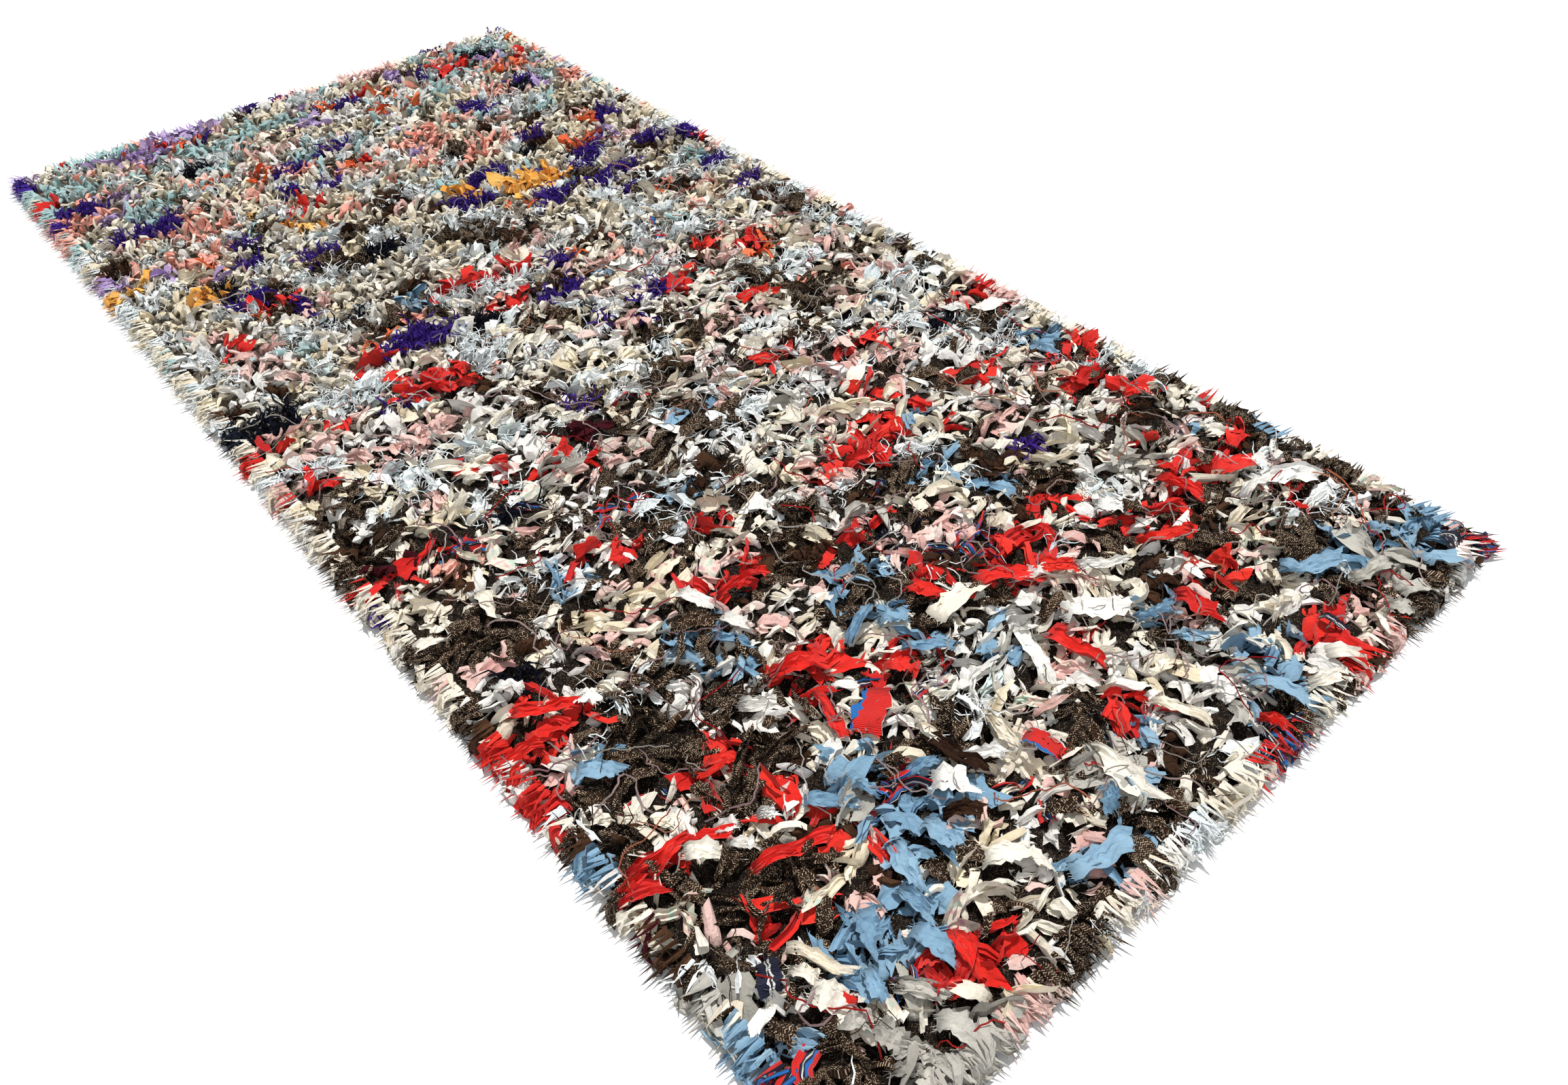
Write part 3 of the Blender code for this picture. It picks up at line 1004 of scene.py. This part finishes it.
def matted_roots(near, far, near_share, far_share):
    """A lumpy sheet under the strips of a stretch of the rug, with its stitches pulled about."""
    x = np.linspace(-BODY_X, BODY_X, round(2 * BODY_X / ROOT_STEP))
    y = np.linspace(near, far, round((far - near) / ROOT_STEP))
    over, up_along = np.meshgrid(x, y)
    change = (up_along - CHANGE_FROM) / (CHANGE_TO - CHANGE_FROM)
    change = ease(change + CHANGE_RAGGED * wander(over, up_along, WANDER_SIZE, 8))
    share = near_share + (far_share - near_share) * change
    height = pile_top(over, up_along) * share + chance.normal(0, ROOT_ROUGH, over.shape)
    points = np.stack([over, up_along, np.clip(height, PILE_FLOOR, None)], axis=-1)[None]
    pulled = chance.normal(0, ROOT_PULLED, points.shape[:3] + (2,))
    # The roots' cloth coordinates start far along, past the dust and painted shade of a strip's root.
    cloth = points[..., :2] + pulled + (0, PAST_DUST_AND_SHADE)
    bundle = Bundle()
    bundle.add(points, cloth, np.array([0.5]))
    return bundle


# Both sheets are darker than their cloth, as painted shade in the gaps between the strips.
bundles["dark_roots_and_shade"] = matted_roots(-BODY_Y, CHANGE_TO, DARK_SHARE, SUNK_SHARE)
bundles["pale_roots_and_shade"] = matted_roots(CHANGE_FROM, BODY_Y, SUNK_SHARE, PALE_SHARE)

# %% [markdown]
# The edge of the rug bristles: the outermost rags are trimmed to points that lie out on the floor.
# Each is a narrow folded ribbon, three points wide, with a ridge along its middle. Their roots
# follow the four sides in three layers, and near a corner they fan out to fill it.

# %% Pointed locks round the rim
LOCK_PITCH = 7.2 * MM
LOCK_SCATTER = 3 * MM
LOCK_RINGS = 4
LOCK_ROOT_INSET = 16 * MM
LOCK_REACH = 44 * MM
LOCK_WIDTHS = (3.6 * MM, 7 * MM)
LOCK_TIP = 0.25 * MM
LOCK_FLOOR = 0.6 * MM
LOCK_SWING = np.radians(13)
LOCK_BEND = np.radians(12)
LOCK_RISE = np.radians(9)
LOCK_LAYERS = ((5 * MM, 1.0), (15 * MM, 0.7), (29 * MM, 0.0))
FAN_SPAN = 0.12
FAN_ANGLE = np.radians(40)
END_SIDES = (((0, 1), BODY_X, BODY_Y), ((0, -1), BODY_X, BODY_Y))
LONG_SIDES = (((1, 0), BODY_Y, BODY_X), ((-1, 0), BODY_Y, BODY_X))


def side_locks(outward, half_side, from_middle, layer, droop):
    """Roots, headings, lengths and droop of the locks along one side of the rug, in one layer."""
    places = np.arange(-half_side, half_side, LOCK_PITCH)
    places = places + chance.normal(0, LOCK_SCATTER, places.shape)
    along = np.array([-outward[1], outward[0]])
    root = places[:, None] * along + np.array(outward) * (from_middle - LOCK_ROOT_INSET)
    fan = FAN_ANGLE * np.clip(1 - (half_side - np.abs(places)) / FAN_SPAN, 0, 1)
    swing = np.sign(places) * fan + chance.normal(0, 1, places.shape) * LOCK_SWING
    heading = np.arctan2(outward[1], outward[0]) + swing
    reach = (LOCK_REACH + LOCK_ROOT_INSET - 0.6 * layer) * chance.uniform(0.60, 1.0, places.shape)
    root = np.column_stack([root, np.full(len(places), layer)])
    return root, heading, reach, np.full(len(places), droop)


def rim_locks():
    """All pointed locks of the rim, each added to the bundle of the cloth that it is cut from."""
    parts = [side_locks(*side, *layer) for side in LONG_SIDES + END_SIDES for layer in LOCK_LAYERS]
    root, heading, reach, droop = (np.concatenate(values) for values in zip(*parts))
    count, share = len(reach), shares(LOCK_RINGS)
    fall = droop * np.arcsin(np.clip(root[:, 2] / reach, 0, 0.7))
    rise = LOCK_RISE * chance.uniform(0, 1.6, (count, 1)) - fall[:, None] * (0.4 + 1.2 * share)
    heading_line = heading[:, None] + LOCK_BEND * chance.normal(0, 1, (count, 1)) * share
    line, _, side, up = centre_lines(root, heading_line, rise, reach)
    wide = chance.uniform(*LOCK_WIDTHS, count)
    half = (wide[:, None] / 2 * np.clip(1.35 * (1 - share), 0, 1) + LOCK_TIP)[..., None]
    columns = np.array([-1.0, 0.0, 1.0])[None, None, :]
    ridge = (1 - np.abs(columns)) * half * chance.uniform(0.3, 0.9, count)[:, None, None]
    points = sweep(line, side, up, columns * half, ridge)
    points[..., 2] = np.clip(points[..., 2], LOCK_FLOOR, HIGHEST)
    points[..., 0] = np.clip(points[..., 0], -REACH_X, REACH_X)
    points[..., 1] = np.clip(points[..., 1], -REACH_Y, REACH_Y)
    cloth_number = cloth_at(root[:, 0], root[:, 1])
    cloth = cloth_places(columns * wide[:, None, None] / 2, share, reach, points.shape[:3])
    cloth = cloth + (0, LOCK_ROOT_INSET)
    tint = np.clip(chance.normal(0.45, 0.22, count), 0, 1)
    for number, name in enumerate(CLOTHS):
        which = cloth_number == number
        bundles[name].add(points[which], cloth[which], tint[which])
    return count


print(rim_locks(), "locks round the rim")

# %% [markdown]
# Frayed edges and unravelled seams leave long threads, which lie in loose waves over the pile. A
# thread's heading drifts as it goes, and its height follows the pile below it.

# %% Loose threads over the pile
ThreadKind = namedtuple("ThreadKind", "name count thick near far")
THREADS = (
    ThreadKind("cream_threads", 160, 2.0 * MM, -1.40, 0.60),
    ThreadKind("rosy_threads", 120, 2.8 * MM, -1.40, 0.10),
    ThreadKind("brown_threads", 80, 1.4 * MM, -1.40, 0.40),
    ThreadKind("red_threads", 34, 2.4 * MM, -1.40, 0.40),
    ThreadKind("orange_threads", 44, 2.4 * MM, -1.30, 1.30),
)
THREAD_RINGS = 17
THREAD_LONG = (50 * MM, 190 * MM)
THREAD_TURN = np.radians(30)
THREAD_INSET = 40 * MM
THREAD_LIFT = 7 * MM
THREAD_WAVE = 5 * MM


def loose_threads(kind):
    """Long wavy threads that lie on the pile."""
    bundle = Bundle()
    x = chance.uniform(THREAD_INSET - BODY_X, BODY_X - THREAD_INSET, kind.count)
    y = chance.uniform(kind.near, kind.far, kind.count)
    long, share = chance.uniform(*THREAD_LONG, kind.count), shares(THREAD_RINGS)
    turns = np.cumsum(chance.normal(0, THREAD_TURN, (kind.count, THREAD_RINGS)), axis=1)
    heading = chance.uniform(0, 2 * np.pi, kind.count)[:, None] + turns
    root = np.stack([x, y, np.zeros_like(x)], axis=-1)
    line, _, side, up = centre_lines(root, heading, np.zeros_like(heading), long)
    line[..., 0] = np.clip(line[..., 0], -BODY_X, BODY_X)
    line[..., 1] = np.clip(line[..., 1], -BODY_Y, BODY_Y)
    arch = THREAD_LIFT + THREAD_WAVE * np.sin(share * 9 + heading[:, :1] * 5)
    arch = arch * np.sin(np.pi * (0.1 + 0.8 * share))
    line[..., 2] = np.minimum(pile_top(line[..., 0], line[..., 1]) + arch, HIGHEST)
    thick = kind.thick / 2 * chance.uniform(0.7, 1.2, kind.count)[:, None, None]
    points = sweep(line, side, up, np.cos(TUBE_CORNERS) * thick, np.sin(TUBE_CORNERS) * thick)
    cloth = cloth_places(TUBE_CORNERS * kind.thick / 2, share, long, points.shape[:3])
    bundle.add(points, cloth, chance.uniform(0, 1, kind.count), closed=True)
    return bundle


for kind in THREADS:
    bundles[kind.name] = loose_threads(kind)
    print(kind.name, kind.count)

# %% [markdown]
# Materials come next. Shader maths reads best as plain expressions, so one small class wraps a
# socket: adding or multiplying two of them adds a Math node. Every other node comes from one
# method, which takes the node's type, its settings, and the values or links of its sockets.

# %% Shader expressions
class Wire:
    """An output socket in a material. Arithmetic on it adds Math nodes."""

    def __init__(self, paint, socket):
        self.paint = paint
        self.socket = socket

    def maths(self, operation, first, second=0.0):
        return self.paint.node("ShaderNodeMath", {"operation": operation}, {0: first, 1: second})

    def apply(self, operation, other=0.0):
        """Maths for which there is no sign, such as a sine or a triangle wave."""
        return self.maths(operation, self, other)

    def __add__(self, other):
        return self.maths("ADD", self, other)

    def __radd__(self, other):
        return self.maths("ADD", other, self)

    def __sub__(self, other):
        return self.maths("SUBTRACT", self, other)

    def __rsub__(self, other):
        return self.maths("SUBTRACT", other, self)

    def __mul__(self, other):
        return self.maths("MULTIPLY", self, other)

    def __rmul__(self, other):
        return self.maths("MULTIPLY", other, self)

    def __truediv__(self, other):
        return self.maths("DIVIDE", self, other)

    def __rtruediv__(self, other):
        return self.maths("DIVIDE", other, self)


class Paint:
    """A material under construction."""

    def __init__(self, name):
        self.material = bpy.data.materials.new(name)
        self.material.use_nodes = True
        self.tree = self.material.node_tree
        self.shader = self.tree.nodes["Principled BSDF"]

    def node(self, kind, settings=None, values=None, output=0):
        """Adds a node, sets it up, fills or links its sockets and gives one of its outputs."""
        made = self.tree.nodes.new(kind)
        for name, value in (settings or {}).items():
            if name == "stops":
                self.set_stops(made.color_ramp, value)
            else:
                setattr(made, name, value)
        for name, value in (values or {}).items():
            self.fill(made.inputs[name], value)
        return Wire(self, made.outputs[output])

    def fill(self, socket, value):
        if isinstance(value, Wire):
            self.tree.links.new(value.socket, socket)
        else:
            socket.default_value = value

    def set_stops(self, ramp, stops):
        for number, (place, colour) in enumerate(stops):
            stop = ramp.elements[number] if number < 2 else ramp.elements.new(place)
            stop.position = place
            stop.color = (*colour, 1.0)

    def ramp(self, share, stops, steps="LINEAR"):
        """A colour ramp: each stop is a place from 0 to 1 and the colour there."""
        made = self.node("ShaderNodeValToRGB", {"stops": stops}, {0: share})
        made.socket.node.color_ramp.interpolation = steps
        return made

    def blend(self, share, first, second, how="MIX"):
        """Mixes two colours; a Mix node's colour sockets are its inputs 6 and 7 and its output 2."""
        settings = {"data_type": "RGBA", "blend_type": how}
        return self.node("ShaderNodeMix", settings, {0: share, 6: first, 7: second}, output=2)

    def noise(self, size, detail=2.0, salt=0.0):
        """Smooth noise whose lumps are about that many metres across."""
        place = self.node("ShaderNodeTexCoord", output=3)
        values = {"Vector": place, "W": salt, "Scale": 1 / size, "Detail": detail}
        return self.node("ShaderNodeTexNoise", {"noise_dimensions": "4D"}, values)


# %% [markdown]
# All rags share some facts. Each strip has its own tint, because each garment faded in its own way.
# Cloth darkens towards the knot: partly dust that settles there, and partly painted shade of the pile
# round the root. Weave, knit and crumple are height patterns in the cloth's own coordinates, so they turn
# with every strip. Each material adds these to its own colours, and one function puts the finished values
# on the shader.

# %% Shared finish of all rags
def linear(red, green, blue):
    """Colour as the eye reads it, in 0 to 255, turned into light."""
    return tuple((value / 255) ** 2.2 for value in (red, green, blue))


def even_stops(tones):
    """Ramp stops for a cloth's tones, spread evenly over the tint."""
    return [(number / (len(tones) - 1), linear(*tone)) for number, tone in enumerate(tones)]


ROOT_DUST_AND_SHADE = 0.45
DUST_AND_SHADE_REACH = 15 * MM
BLOTCH_SIZE = 26 * MM
WORN_SIZE = 9 * MM
WRINKLE_SIZE = 7 * MM


class Rag(Paint):
    """A rag's material: its cloth coordinates, its tint and its finish."""

    def __init__(self, name):
        super().__init__(name)
        cloth = self.node("ShaderNodeUVMap", {"uv_map": "cloth"})
        self.across = self.node("ShaderNodeSeparateXYZ", values={0: cloth}, output=0)
        self.along = self.node("ShaderNodeSeparateXYZ", values={0: cloth}, output=1)
        self.tint = self.node("ShaderNodeAttribute", {"attribute_name": "tint"}, output=2)

    def wave(self, place, pitch):
        """A wave from 0 to 1 along a cloth coordinate."""
        turned = place * (2 * np.pi / pitch)
        return turned.apply("SINE") * 0.5 + 0.5

    def times(self, colour, share):
        """A colour multiplied by a number."""
        grey = self.node("ShaderNodeCombineColor", values={0: share, 1: share, 2: share})
        return self.blend(1.0, colour, grey, "MULTIPLY")

    def finish(self, colour, height, depth, roughness=0.9, sheen=0.12, dust_and_shade=ROOT_DUST_AND_SHADE):
        """Dust and painted shade at the root, soft blotches, bump, and the numbers that are the same all
        over.
        """
        # Darker towards the knot: dust, and painted shade of the pile round the root.
        dust_and_shade_range = {0: self.along, 1: 0.0, 2: DUST_AND_SHADE_REACH, 3: dust_and_shade, 4: 1.0}
        dust_and_shade_factor = self.node("ShaderNodeMapRange", values=dust_and_shade_range)
        blotch = self.noise(BLOTCH_SIZE, 3.0, 2.0) * 0.34 + 0.83
        self.fill(self.shader.inputs["Base Color"], self.times(colour, dust_and_shade_factor * blotch))
        rough = self.noise(WORN_SIZE, 2.0, 4.0) * 0.16 + (roughness - 0.08)
        self.fill(self.shader.inputs["Roughness"], rough)
        bump = self.node("ShaderNodeBump", values={"Height": height, "Distance": depth, "Strength": 1.0})
        self.fill(self.shader.inputs["Normal"], bump)
        self.shader.inputs["Sheen Weight"].default_value = sheen
        self.shader.inputs["Sheen Roughness"].default_value = 0.6
        self.shader.inputs["Specular IOR Level"].default_value = 0.25
        return self.material


# %% [markdown]
# Woven cotton is the plainest: two sets of fine threads make a checked height, and a slow noise adds
# the wrinkles of cloth that was washed, torn and never pressed. Gauze, tulle, linen and jersey are
# the same weave with thicker threads. The ramp turns a strip's tint into one of its cloth's tones.

# %% Woven cotton
FINE_THREAD = 0.9 * MM
CREASE_SIZE = 11 * MM


def creases(rag, size, stretch=3.0):
    """Height of sharp creases that run mostly along the strip, as from a knot's pull."""
    corner = {0: rag.across, 1: rag.along / stretch, 2: rag.tint * 0.4}
    place = rag.node("ShaderNodeCombineXYZ", values=corner)
    values = {"Vector": place, "Scale": 1 / size, "Detail": 3.0, "Distortion": 0.6}
    slow = rag.node("ShaderNodeTexNoise", {}, values)
    return (slow * 2.0).apply("PINGPONG", 0.5) * 2.0


def woven(name, tones, thread=FINE_THREAD, dust_and_shade=ROOT_DUST_AND_SHADE):
    """Plain woven cloth in the tones given."""
    rag = Rag(name)
    colour = rag.ramp(rag.tint, even_stops(tones))
    threads = rag.wave(rag.across, thread) * rag.wave(rag.along, thread)
    folds = creases(rag, CREASE_SIZE)
    height = threads * 0.06 + folds * 0.30 + rag.noise(WRINKLE_SIZE, 3.0, 1.0) * 0.8
    # Painted shade: the colour is darker in the hollows of the weave and of the creases.
    colour = rag.times(colour, threads * 0.10 + folds * 0.10 + 0.89)
    return rag.finish(colour, height, 3.2 * MM, 0.92, dust_and_shade=dust_and_shade)


# %% [markdown]
# Jumper knit shows columns of small V shapes. Tilting the rows by a triangle wave across the cloth draws
# them, with painted shade in the hollows between them. Marl is knitted from a dark and a light yarn
# together, so the V shapes turn pale in places, and a chance value for each stitch decides where.

# %% Knit
STITCH_WIDE = 4.6 * MM
STITCH_HIGH = 3.2 * MM


def knit(name, tones, fleck, fleck_share, roughness=0.95):
    """Knitted cloth: V-shaped stitches in the tones given, a share of them in a second yarn."""
    rag = Rag(name)
    column = rag.across / STITCH_WIDE
    slope = column.apply("PINGPONG", 0.5)
    row = rag.along / STITCH_HIGH + slope * 1.4
    loop = row.apply("PINGPONG", 0.5) * 2.0
    stitch = {0: (column * 2.0).apply("FLOOR"), 1: row.apply("FLOOR"), 2: rag.tint * 50.0}
    place = rag.node("ShaderNodeCombineXYZ", values=stitch)
    drawn = rag.node("ShaderNodeTexWhiteNoise", {"noise_dimensions": "3D"}, {"Vector": place})
    light = drawn.apply("LESS_THAN", fleck_share)
    body = rag.node("ShaderNodeMapRange", values={0: loop, 1: 0.25, 2: 0.55})
    thin = rag.node("ShaderNodeMapRange", values={0: loop, 1: 0.50, 2: 0.75})
    worn = rag.noise(12 * MM, 3.0, 5.0) * 1.1 + 0.35
    ground = rag.ramp(rag.tint, even_stops(tones))
    colour = rag.blend(light * thin * worn, ground, (*linear(*fleck), 1.0))
    # Painted shade darkens the hollows between the stitches.
    colour = rag.times(colour, body * 0.6 + 0.4)
    height = loop * 0.8 + slope * 0.8 + rag.noise(8 * MM, 3.0, 1.0)
    return rag.finish(colour, height, 2.2 * MM, roughness, 0.0)


# %% Yarn and fleece
PLY_PITCH = 2.4 * MM
FLUFF_SIZE = 2.2 * MM


def yarn(name, tones, dust_and_shade=ROOT_DUST_AND_SHADE):
    """Twisted or fluffy yarn: its plies run slantwise round the strand."""
    rag = Rag(name)
    plies = rag.wave(rag.along + rag.across * 1.5, PLY_PITCH)
    fluff = rag.noise(FLUFF_SIZE, 3.0, 3.0)
    height = plies * 0.5 + fluff
    # The fluff's height also moves the tone: darker in its hollows and lighter on its tops, as painted
    # shade and light.
    colour = rag.ramp(rag.tint + (fluff - 0.5) * 1.2, even_stops(tones))
    return rag.finish(colour, height, 2.4 * MM, 0.95, 0.0, dust_and_shade)


# %% [markdown]
# Two rags carry a pattern. The ribbed trims of shirts are striped red, navy, blue and white, with
# fine ribs along or across them. The printed cotton is faded, with soft blots of mint, rose
# and lilac on cream, from a noise and a ramp.

# %% Striped and printed rags
RED = linear(222, 40, 34)
NAVY = linear(22, 26, 52)
BLUE = linear(34, 112, 190)
WHITE = linear(232, 228, 220)
MIXED_STRIPES = [(0.0, RED), (0.42, NAVY), (0.60, WHITE), (0.68, NAVY), (0.80, BLUE)]
RED_STRIPES = [(0.0, BLUE), (0.17, RED), (0.95, WHITE)]
NAVY_STRIPES = [(0.0, NAVY), (0.4, WHITE), (0.5, NAVY), (0.6, WHITE), (0.7, NAVY)]
RIB_PITCH = 2.2 * MM


def striped(name, repeat, stops, ribs_across):
    """Ribbed trim with stripes along it; the ribs run across it, or along it as well."""
    rag = Rag(name)
    place = rag.across / repeat + (0.5 if ribs_across else rag.tint * 3.0)
    ribs = rag.wave(rag.along if ribs_across else rag.across, RIB_PITCH)
    colour = rag.ramp(place.apply("FRACT"), stops, "CONSTANT")
    height = ribs * 0.6 + rag.noise(8 * MM, 2.0, 1.0)
    # Painted shade: the colour is darker in the grooves between the ribs.
    return rag.finish(rag.times(colour, ribs * 0.3 + 0.75), height, 1.2 * MM)


def printed(name):
    """Faded cotton print: soft blots from a noise and a ramp."""
    rag = Rag(name)
    spots = rag.noise(11 * MM, 1.0, 9.0)
    stops = [
        (0.0, linear(176, 206, 190)), (0.38, linear(200, 216, 200)), (0.46, linear(232, 222, 204)),
        (0.56, linear(234, 224, 208)), (0.64, linear(226, 186, 176)), (0.80, linear(190, 160, 196)),
    ]
    height = rag.wave(rag.across, 1.0 * MM) * 0.1 + rag.noise(WRINKLE_SIZE, 3.0, 1.0)
    return rag.finish(rag.ramp(spots, stops), height, 1.1 * MM)


# %% Materials of the rags
WOVEN_TONES = {
    "cream_cotton": [(228, 214, 192), (246, 236, 216), (253, 247, 233), (250, 239, 218)],
    "ecru_cotton": [(224, 206, 172), (242, 228, 198), (252, 241, 216), (252, 243, 222)],
    "white_cotton": [(230, 226, 219), (248, 245, 238), (255, 253, 248)],
    "grey_gauze": [(212, 224, 226), (232, 238, 239), (246, 248, 247), (220, 234, 231)],
    "red_cotton": [(196, 24, 22), (228, 38, 28), (240, 54, 38)],
    "blue_poplin": [(104, 142, 170), (132, 170, 197), (158, 192, 214)],
    "coral_cotton": [(246, 146, 124), (254, 180, 160), (255, 216, 202)],
    "lilac_cotton": [(168, 138, 198), (192, 166, 216), (216, 198, 232)],
    "orange_cotton": [(232, 84, 40), (246, 110, 58), (248, 150, 96)],
    "gold_tulle": [(244, 160, 60), (253, 186, 84), (255, 206, 124)],
    "grey_linen": [(166, 162, 152), (190, 186, 176), (210, 206, 196)],
    "pink_jersey": [(220, 168, 160), (238, 198, 188), (246, 226, 216)],
}
COARSE_THREADS = {
    "grey_gauze": 2.0 * MM,
    "gold_tulle": 1.6 * MM,
    "pink_jersey": 1.4 * MM,
    "grey_linen": 1.3 * MM,
}
YARN_TONES = {
    # The roots' tones are darkened as painted shade in the gaps between the strips.
    "pale_roots_and_shade": [(40, 31, 24), (98, 84, 70), (176, 164, 148), (132, 140, 138)],
    "mint_fleece": [(196, 248, 247), (216, 253, 251), (240, 255, 254)],
    "brown_yarn": [(62, 40, 27), (84, 56, 38), (108, 76, 54)],
    "violet_yarn": [(74, 42, 158), (94, 58, 192), (118, 82, 210)],
    "navy_yarn": [(16, 18, 30), (26, 32, 52), (40, 50, 74)],
    "cream_threads": [(214, 204, 190), (232, 226, 216), (240, 236, 230)],
    "rosy_threads": [(196, 152, 158), (216, 182, 184), (226, 200, 190)],
    "brown_threads": [(48, 34, 26), (76, 56, 44)],
    "red_threads": [(196, 30, 36), (222, 52, 46)],
    "orange_threads": [(230, 110, 76), (238, 176, 146)],
}
# These cloths get less of the dust and painted shade at the root.
LESS_DUST_AND_SHADE = {"coral_cotton": 0.65, "lilac_cotton": 0.65, "mint_fleece": 0.75}
MATERIALS = {
    "printed_cotton": printed("printed_cotton"),
    "striped_rib": striped("striped_rib", 22 * MM, MIXED_STRIPES, False),
    "rib_trim": striped("rib_trim", 52 * MM, RED_STRIPES, True),
    "navy_trim": striped("navy_trim", 26 * MM, NAVY_STRIPES, True),
    # The roots' wool is darkened as painted shade in the gaps between the strips.
    "dark_roots_and_shade": knit("dark_roots_and_shade", [(28, 20, 14), (36, 26, 19), (44, 32, 24)], (104, 90, 74), 0.40),
    "marl_knit": knit("marl_knit", [(46, 30, 20), (64, 43, 29), (86, 60, 42)], (218, 194, 164), 0.50),
    "maroon_knit": knit("maroon_knit", [(74, 12, 26), (96, 20, 36)], (120, 34, 50), 0.2),
}
for name, tones in WOVEN_TONES.items():
    thread, dust_and_shade = COARSE_THREADS.get(name, FINE_THREAD), LESS_DUST_AND_SHADE.get(name, ROOT_DUST_AND_SHADE)
    MATERIALS[name] = woven(name, tones, thread, dust_and_shade)
for name, tones in YARN_TONES.items():
    MATERIALS[name] = yarn(name, tones, LESS_DUST_AND_SHADE.get(name, ROOT_DUST_AND_SHADE))
print(len(MATERIALS), "rag materials")

# %% [markdown]
# Each bundle becomes one mesh. Arrays go straight into it, which is far quicker than adding faces one by
# one, and a rag's points keep their cloth coordinates and tint for the materials. The pieces replace the
# imported slab and ride on the rug's one body.

# %% Turn the bundles into pieces
CREASE_ANGLE = np.radians(45)


def make_mesh(name, bundle):
    """A mesh of four-sided faces from a bundle's arrays."""
    points, faces = np.concatenate(bundle.points), np.concatenate(bundle.faces)
    mesh = bpy.data.meshes.new(name)
    mesh.vertices.add(len(points))
    mesh.vertices.foreach_set("co", points.astype(np.float32).ravel())
    mesh.loops.add(faces.size)
    mesh.loops.foreach_set("vertex_index", faces.astype(np.int32).ravel())
    mesh.polygons.add(len(faces))
    mesh.polygons.foreach_set("loop_start", np.arange(0, faces.size, 4, dtype=np.int32))
    mesh.update(calc_edges=True)
    layer = mesh.uv_layers.new(name="cloth")
    layer.data.foreach_set("uv", np.concatenate(bundle.cloth)[faces].astype(np.float32).ravel())
    tints = mesh.attributes.new("tint", "FLOAT", "POINT")
    tints.data.foreach_set("value", np.concatenate(bundle.tints).astype(np.float32))
    mesh.polygons.foreach_set("use_smooth", np.ones(len(faces), dtype=bool))
    mesh.set_sharp_from_angle(angle=CREASE_ANGLE)
    return mesh


def add_piece(name, mesh, material):
    """A piece of the rug that rides on its one body."""
    mesh.materials.append(material)
    piece = bpy.data.objects.new(name, mesh)
    bpy.context.scene.collection.objects.link(piece)
    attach(piece, "root")
    return piece


for name, bundle in bundles.items():
    piece = add_piece(name, make_mesh(name, bundle), MATERIALS[name])
    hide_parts("rag_pile")
    print(name, 2 * len(piece.data.polygons), "triangles")

# %% [markdown]
# Below it all lies the ground: a firm plain weave whose weft is packed between the rows of knots.
# It shows only from the side and from below. A grid sheet carries a low ridge for every row of
# knots, and the material draws the threads.

# %% Woven ground
GROUND_STEP_X = 40 * MM
GROUND_STEP_Y = ROW_PITCH / 2
GROUND_LOW = 1.2 * MM
RIDGE = 1.2 * MM
ground_low, ground_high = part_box("woven_ground")
GROUND_WIDE = ground_high[0] - ground_low[0]
GROUND_LONG = ground_high[1] - ground_low[1]


def ground_bundle():
    """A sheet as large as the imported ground, with a ridge for every knot row."""
    x = np.linspace(ground_low[0], ground_high[0], round(GROUND_WIDE / GROUND_STEP_X) + 1)
    y = np.linspace(ground_low[1], ground_high[1], round(GROUND_LONG / GROUND_STEP_Y) + 1)
    over, up_along = np.meshgrid(x, y)
    raised = (np.arange(len(y)) % 2)[:, None] * np.ones_like(over)
    points = np.stack([over, up_along, GROUND_LOW + RIDGE * raised], axis=-1)[None]
    bundle = Bundle()
    bundle.add(points, points[..., :2], np.array([0.5]))
    return bundle


def ground_weave():
    """Brown weave in uneven bands, with a coarse warp and weft."""
    rag = Rag("ground_weave")
    warp = rag.wave(rag.across, 5 * MM)
    weft = rag.wave(rag.along, 3 * MM)
    bands = rag.noise(60 * MM, 2.0, 6.0)
    tones = [(0.3, linear(58, 44, 36)), (0.5, linear(96, 82, 68)), (0.7, linear(44, 34, 28))]
    return rag.finish(rag.ramp(bands, tones), warp * 0.5 + weft * 0.5, 1.0 * MM)


ground = add_piece("ground_cloth", make_mesh("ground_cloth", ground_bundle()), ground_weave())
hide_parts("woven_ground")
print("ground", round(GROUND_WIDE, 3), "m wide and", round(GROUND_LONG, 3), "m long")
print("ground", 2 * len(ground.data.polygons), "triangles")
